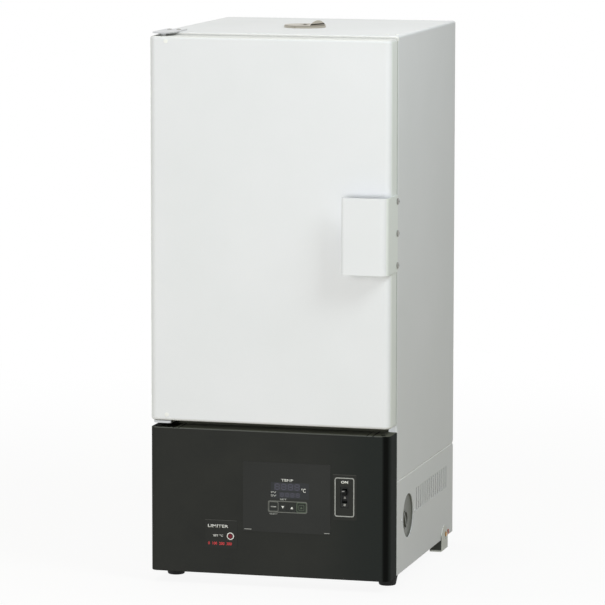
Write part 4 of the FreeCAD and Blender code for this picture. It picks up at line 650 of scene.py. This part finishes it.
def addPrism(bm, loop, front, back, hole=None):
    rings = [[[bm.verts.new(place(x, y, z)) for x, z in edge] for y in (front, back)]
             for edge in ([loop, hole] if hole else [loop])]
    count = len(loop)
    for i in range(count):
        j = (i + 1) % count
        for ring in rings:
            bm.faces.new((ring[0][i], ring[0][j], ring[1][j], ring[1][i]))
        if hole:
            for side in (0, 1):
                bm.faces.new((rings[0][side][i], rings[0][side][j], rings[1][side][j], rings[1][side][i]))
    if not hole:
        for side in (0, 1):
            bm.faces.new(rings[0][side])


def addFrame(bm, front, back, cx, cz, width, height, radius, line):
    inner = roundedLoop(cx, cz, width - 2 * line, height - 2 * line, max(radius - line, leastRadius))
    addPrism(bm, roundedLoop(cx, cz, width, height, radius), front, back, inner)


def addRing(bm, front, back, cx, cz, radius, line):
    addFrame(bm, front, back, cx, cz, 2 * radius, 2 * radius, radius, line)


def addDisc(bm, front, back, cx, cz, radius):
    addPrism(bm, roundedLoop(cx, cz, 2 * radius, 2 * radius, radius), front, back)


def addBar(bm, front, back, x0, x1, z0, z1):
    addPrism(bm, [(x0, z0), (x1, z0), (x1, z1), (x0, z1)], front, back)


# A negative height points down
def addArrow(bm, front, back, cx, cz, width, height):
    addPrism(bm, [(cx - width / 2, cz - height / 2), (cx + width / 2, cz - height / 2),
                  (cx, cz + height / 2)], front, back)


def addWords(bm, front, back, text, x0, x1, z0, z1):
    curve = bpy.data.curves.new("words", "FONT")
    curve.body = text
    curve.resolution_u = wordLook["resolution"]
    curve.offset = wordLook["weight"]
    letters = bmesh.new()
    letters.from_mesh(finalMesh(newObject("words", curve)))
    bmesh.ops.remove_doubles(letters, verts=letters.verts, dist=wordLook["merge"])
    low = [min(v.co[i] for v in letters.verts) for i in (0, 1)]
    high = [max(v.co[i] for v in letters.verts) for i in (0, 1)]
    for v in letters.verts:
        x = x0 + (x1 - x0) * (v.co.x - low[0]) / (high[0] - low[0])
        z = z0 + (z1 - z0) * (v.co.y - low[1]) / (high[1] - low[1])
        v.co = place(x, front, z)
    grown = bmesh.ops.extrude_face_region(letters, geom=letters.faces[:])
    for item in grown["geom"]:
        if isinstance(item, bmesh.types.BMVert):
            item.co.y += (back - front) * mm
    letters.verts.sort(key=lambda v: v.co.dot(wordOrder))
    letters.faces.sort(key=lambda f: f.calc_center_median().dot(wordOrder))
    bm.from_mesh(plainMesh(letters, "words"))


shapeMakers = {"frame": addFrame, "ring": addRing, "disc": addDisc, "bar": addBar, "arrow": addArrow,
               "words": addWords}


# Front and back are the two depths of the ink
def printPiece(name, marks, material, body, slot, front, back):
    bm = bmesh.new()
    for mark in marks:
        shapeMakers[mark[0]](bm, front, back, *mark[1:])
    return newPiece(name, plainMesh(bm, name), body, material)


filmInk = (-0.56, -0.44)        # ink on the film of the operating panel and the keys
plateInk = (-0.46, -0.34)       # ink on the small plates
displayInk = (-0.52, -0.44)     # shade behind the digits

panelPrint = {
    "panelTitle": (paleInk, (("words", "TEMP", 20.6, 41.0, 179.1, 183.3),
                             ("words", "°C", 54.8, 62.6, 161.8, 168.8))),
    "panelLabels": (frameInk, (("words", "PV", 3.0, 12.6, 158.8, 161.8),
                               ("words", "SV", 2.6, 12.8, 153.0, 156.6),
                               ("words", "SET", 18.4, 30.2, 147.7, 150.4),
                               ("words", "SELECT", 0.6, 14.4, 123.2, 125.3))),
    "keyFrames": (oliveInk, (("frame", 31.45, 136.6, 67.0, 19.8, 3.4, 1.5),
                             ("frame", 7.5, 136.6, 17.0, 17.0, 2.6, 1.3))),
    "runFrame": (greenInk, (("frame", 55.3, 136.6, 17.0, 17.0, 2.6, 1.3),)),
    "panelDashes": (frameInk, (("bar", -42.6, -30.0, 96.2, 97.3), ("bar", 94.0, 103.0, 95.0, 96.1))),
}
printPiece("displayBacks", (("bar", 8.4, 53.0, 163.9, 176.4), ("bar", 17.5, 53.0, 152.4, 161.1)),
           displayShade, "cabinet", "display_lens", *displayInk)
for name, (material, marks) in panelPrint.items():
    printPiece(name, marks, material, "cabinet", "overlay_film", *filmInk)

keyPrint = {
    "modeMark": ("mode_key", paleInk, (("words", "MODE", 3.2, 12.0, 135.2, 137.2),)),
    "downMark": ("down_key", whiteInk, (("arrow", 23.2, 136.0, 4.8, -4.0),)),
    "upMark": ("up_key", whiteInk, (("arrow", 38.8, 135.6, 4.8, 4.0),)),
    "runMark": ("run_key", greenInk, (("frame", 55.0, 136.2, 9.6, 9.6, 1.2, 0.8),
                                      ("arrow", 55.0, 136.4, 4.4, 4.0))),
}
for name, (body, material, marks) in keyPrint.items():
    printPiece(name, marks, material, body, "key_film", *filmInk)

platePrint = {
    "switchFrame": (frameInk, (("frame", 128.2, 157.4, 33.4, 65.4, 4.0, 1.7),)),
    "switchWord": (whiteInk, (("words", "ON", 122.4, 134.4, 180.2, 184.8),)),
    "plateEdges": (edgeInk, (("bar", 108.8, 148.0, 194.3, 194.9), ("bar", -110.4, -55.3, 108.7, 109.3))),
    "limitWords": (paleInk, (("words", "LIMITER", -105.4, -70.0, 96.6, 101.6),
                             ("words", "SET °C", -96.2, -79.4, 81.4, 85.0))),
    "dialRing": (whiteInk, (("ring", -66.7, 83.0, 6.2, 1.5),)),
    "limitScale": (redInk, (("words", "0  100  200  300", -105.0, -64.4, 67.4, 72.4),)),
}
for name, (material, marks) in platePrint.items():
    printPiece(name, marks, material, "cabinet", "overlay_film", *plateInk)
print("panel print made")

# The breaker's lower label bridges the end of its slot; a curved skirt under the toggle hides the works
breakerLook = {"x": 128.4, "pivotY": 14.0, "pivotZ": 157.2, "tilt": 26.0, "length": 27.0, "skirtRadius": 12.0,
               "skirtSheet": 1.2, "skirtHalf": 4.1, "skirtFrom": -14.0, "skirtTo": -84.0, "skirtSteps": 24,
               "line": (4.6, 0.16, 1.3), "offLabel": (0.72, 0.98), "offMark": (0.66, 0.74),
               "onMark": (1.84, 2.5)}
printPiece("offLabel", (("bar", 122.4, 134.4, 140.4, 147.2),), overlayFilm, "cabinet", "device_black",
           *breakerLook["offLabel"])
printPiece("offMark", (("disc", 128.4, 144.6, 2.1),), greyInk, "cabinet", "device_black",
           *breakerLook["offMark"])


def makeSkirt(look):
    bm = bmesh.new()
    rows = []
    sweep = look["skirtTo"] - look["skirtFrom"]
    for k in range(look["skirtSteps"] + 1):
        angle = math.radians(look["skirtFrom"] + sweep * k / look["skirtSteps"] + look["tilt"])
        row = []
        for radius in (look["skirtRadius"], look["skirtRadius"] - look["skirtSheet"]):
            for side in (-1, 1):
                row.append(bm.verts.new(place(look["x"] + side * look["skirtHalf"],
                                              look["pivotY"] - radius * math.cos(angle),
                                              look["pivotZ"] + radius * math.sin(angle))))
        rows.append(row)
    for a, b in zip(rows, rows[1:]):
        for i, j in ((0, 1), (1, 3), (3, 2), (2, 0)):
            bm.faces.new((a[i], a[j], b[j], b[i]))
    for row in (rows[0], rows[-1]):
        bm.faces.new((row[0], row[1], row[3], row[2]))
    return newPiece("toggleSkirt", plainMesh(bm, "toggleSkirt"), "breaker_toggle", filledNylon)


makeSkirt(breakerLook)
printPiece("onMark", (("arrow", 128.4, 157.0, 4.2, 4.2),), greyInk, "breaker_toggle", "lever_black",
           *breakerLook["onMark"])


# The pale line across the toggle's tip
def makeToggleLine(look):
    wide, thick, high = look["line"]
    bm = bmesh.new()
    bmesh.ops.create_cube(bm, size=1.0)
    turn = Matrix.Rotation(math.radians(-look["tilt"]), 3, "X")
    pivot = place(look["x"], look["pivotY"], look["pivotZ"])
    for v in bm.verts:
        local = Vector((v.co.x * wide, v.co.y * thick - look["length"], v.co.z * high)) * mm
        v.co = pivot + turn @ local
    return newPiece("toggleLine", plainMesh(bm, "toggleLine"), "breaker_toggle", greyInk)


makeToggleLine(breakerLook)
print("breaker dressed")

# A bead closes each seam between the upper casing and the lower side; its lighter tone is a painted highlight
seamLook = {"inner": 203.0, "outer": 204.85, "low": 177.0, "high": 178.45, "front": 50.0, "rear": 465.0}


def makeSeamBead(name, side, look):
    bm = bmesh.new()
    corners = ((look["inner"], look["low"]), (look["outer"], look["low"]), (look["inner"], look["high"]))
    ends = [[bm.verts.new(place(side * x, y, z)) for x, z in corners] for y in (look["front"], look["rear"])]
    for end in ends:
        bm.faces.new(end)
    for i in range(3):
        j = (i + 1) % 3
        bm.faces.new((ends[0][i], ends[0][j], ends[1][j], ends[1][i]))
    newPiece(name, plainMesh(bm, name), "cabinet", seamHighlight)


makeSeamBead("seamBeadRight", 1, seamLook)
makeSeamBead("seamBeadLeft", -1, seamLook)
print("seam beads made")

# Floor, background and light
stageLook = {"floorHalf": 12.0, "world": 0.22, "floorTone": "#9A9476", "floorWhite": "#F6F6F4",
             "nearShare": 0.9, "nearRadius": 0.5, "farRadius": 2.4}


# Seen straight, mirrored or through glass
def seenRays(tree):
    rays = addNode(tree, "ShaderNodeLightPath").outputs
    mirrored = addNode(tree, "ShaderNodeMath", {"operation": "MAXIMUM"},
                       {0: rays["Is Glossy Ray"], 1: rays["Is Transmission Ray"]}).outputs[0]
    return addNode(tree, "ShaderNodeMath", {"operation": "MAXIMUM"},
                   {0: rays["Is Camera Ray"], 1: mirrored}).outputs[0]


def setStage(look):
    half = look["floorHalf"]
    mesh = bpy.data.meshes.new("floor")
    mesh.from_pydata([(-half, -half, 0), (half, -half, 0), (half, half, 0), (-half, half, 0)], [],
                     [(0, 1, 2, 3)])
    floor = newObject("floor", mesh)
    material = bpy.data.materials.new("paleFloor")
    tree = emptyTree(material)
    # The floor is seen white, with the shadow kept near the cabinet, and gives the light of its own tone
    seen = seenRays(tree)
    where = addNode(tree, "ShaderNodeTexCoord").outputs["Object"]
    away = addNode(tree, "ShaderNodeVectorMath", {"operation": "LENGTH"}, {0: where}).outputs["Value"]
    share = addNode(tree, "ShaderNodeMapRange", {
        "interpolation_type": "SMOOTHSTEP", "From Min": look["nearRadius"], "From Max": look["farRadius"],
        "To Min": look["nearShare"], "To Max": 1.0}, {"Value": away}).outputs["Result"]
    share = addNode(tree, "ShaderNodeMath", {"operation": "MULTIPLY"}, {0: seen, 1: share}).outputs[0]
    tone = addNode(tree, "ShaderNodeMix", {"data_type": "RGBA", 6: linear(look["floorTone"]),
                                           7: linear(look["floorWhite"])}, {0: seen}).outputs[2]
    matt = addNode(tree, "ShaderNodeBsdfDiffuse", {}, {"Color": tone})
    white = addNode(tree, "ShaderNodeEmission", {"Color": (1, 1, 1, 1), "Strength": 1.0})
    both = addNode(tree, "ShaderNodeMixShader", {}, {0: share, 1: matt.outputs[0], 2: white.outputs[0]})
    addNode(tree, "ShaderNodeOutputMaterial", {}, {"Surface": both.outputs[0]})
    mesh.materials.append(material)
    world = bpy.data.worlds.new("studio")
    bpy.context.scene.world = world
    tree = emptyTree(world)
    strength = addNode(tree, "ShaderNodeMix", {"data_type": "FLOAT", 2: look["world"], 3: 1.0},
                       {0: seenRays(tree)}).outputs[0]
    sky = addNode(tree, "ShaderNodeBackground", {"Color": (1, 1, 1, 1)}, {"Strength": strength})
    addNode(tree, "ShaderNodeOutputWorld", {}, {"Surface": sky.outputs[0]})


# Places and sizes of the lamps are in metres
lamps = {
    "keySoftbox": {"start": (-1.3, -4.0, 1.2), "aim": (0, 0, 0.4), "size": (2.2, 2.0), "power": 56.0,
                   "tint": (1, 1, 1)},
    "frontSoftbox": {"start": (0.2, -4.3, 0.4), "aim": (0, 0, 0.25), "size": (2.4, 0.8), "power": 63.0,
                     "tint": (1, 1, 1)},
    "topSoftbox": {"start": (-0.6, 0.2, 3.5), "aim": (0, 0, 0.9), "size": (2.2, 2.2), "power": 42.5,
                   "tint": (1.0, 0.975, 0.88)},
    "sideSoftbox": {"start": (1.6, -0.9, 1.95), "aim": (0.2, 0, 0.7), "size": (0.8, 0.8), "power": 22.2,
                    "tint": (0.95, 0.995, 0.98)},
}


def softLight(name, look):
    light = bpy.data.lights.new(name, "AREA")
    light.color = look["tint"]
    light.shape = "RECTANGLE"
    light.size, light.size_y = look["size"]
    light.energy = look["power"]
    lamp = newObject(name, light)
    lamp.visible_glossy = False     # metal mirrors the pale studio, not the lamps
    lamp.location = look["start"]
    toAim = Vector(look["aim"]) - Vector(look["start"])
    lamp.rotation_euler = toAim.to_track_quat("-Z", "Y").to_euler()


setStage(stageLook)
for name, look in lamps.items():
    softLight(name, look)
bpy.context.scene.view_settings.view_transform = "Standard"
print("stage and lights set")
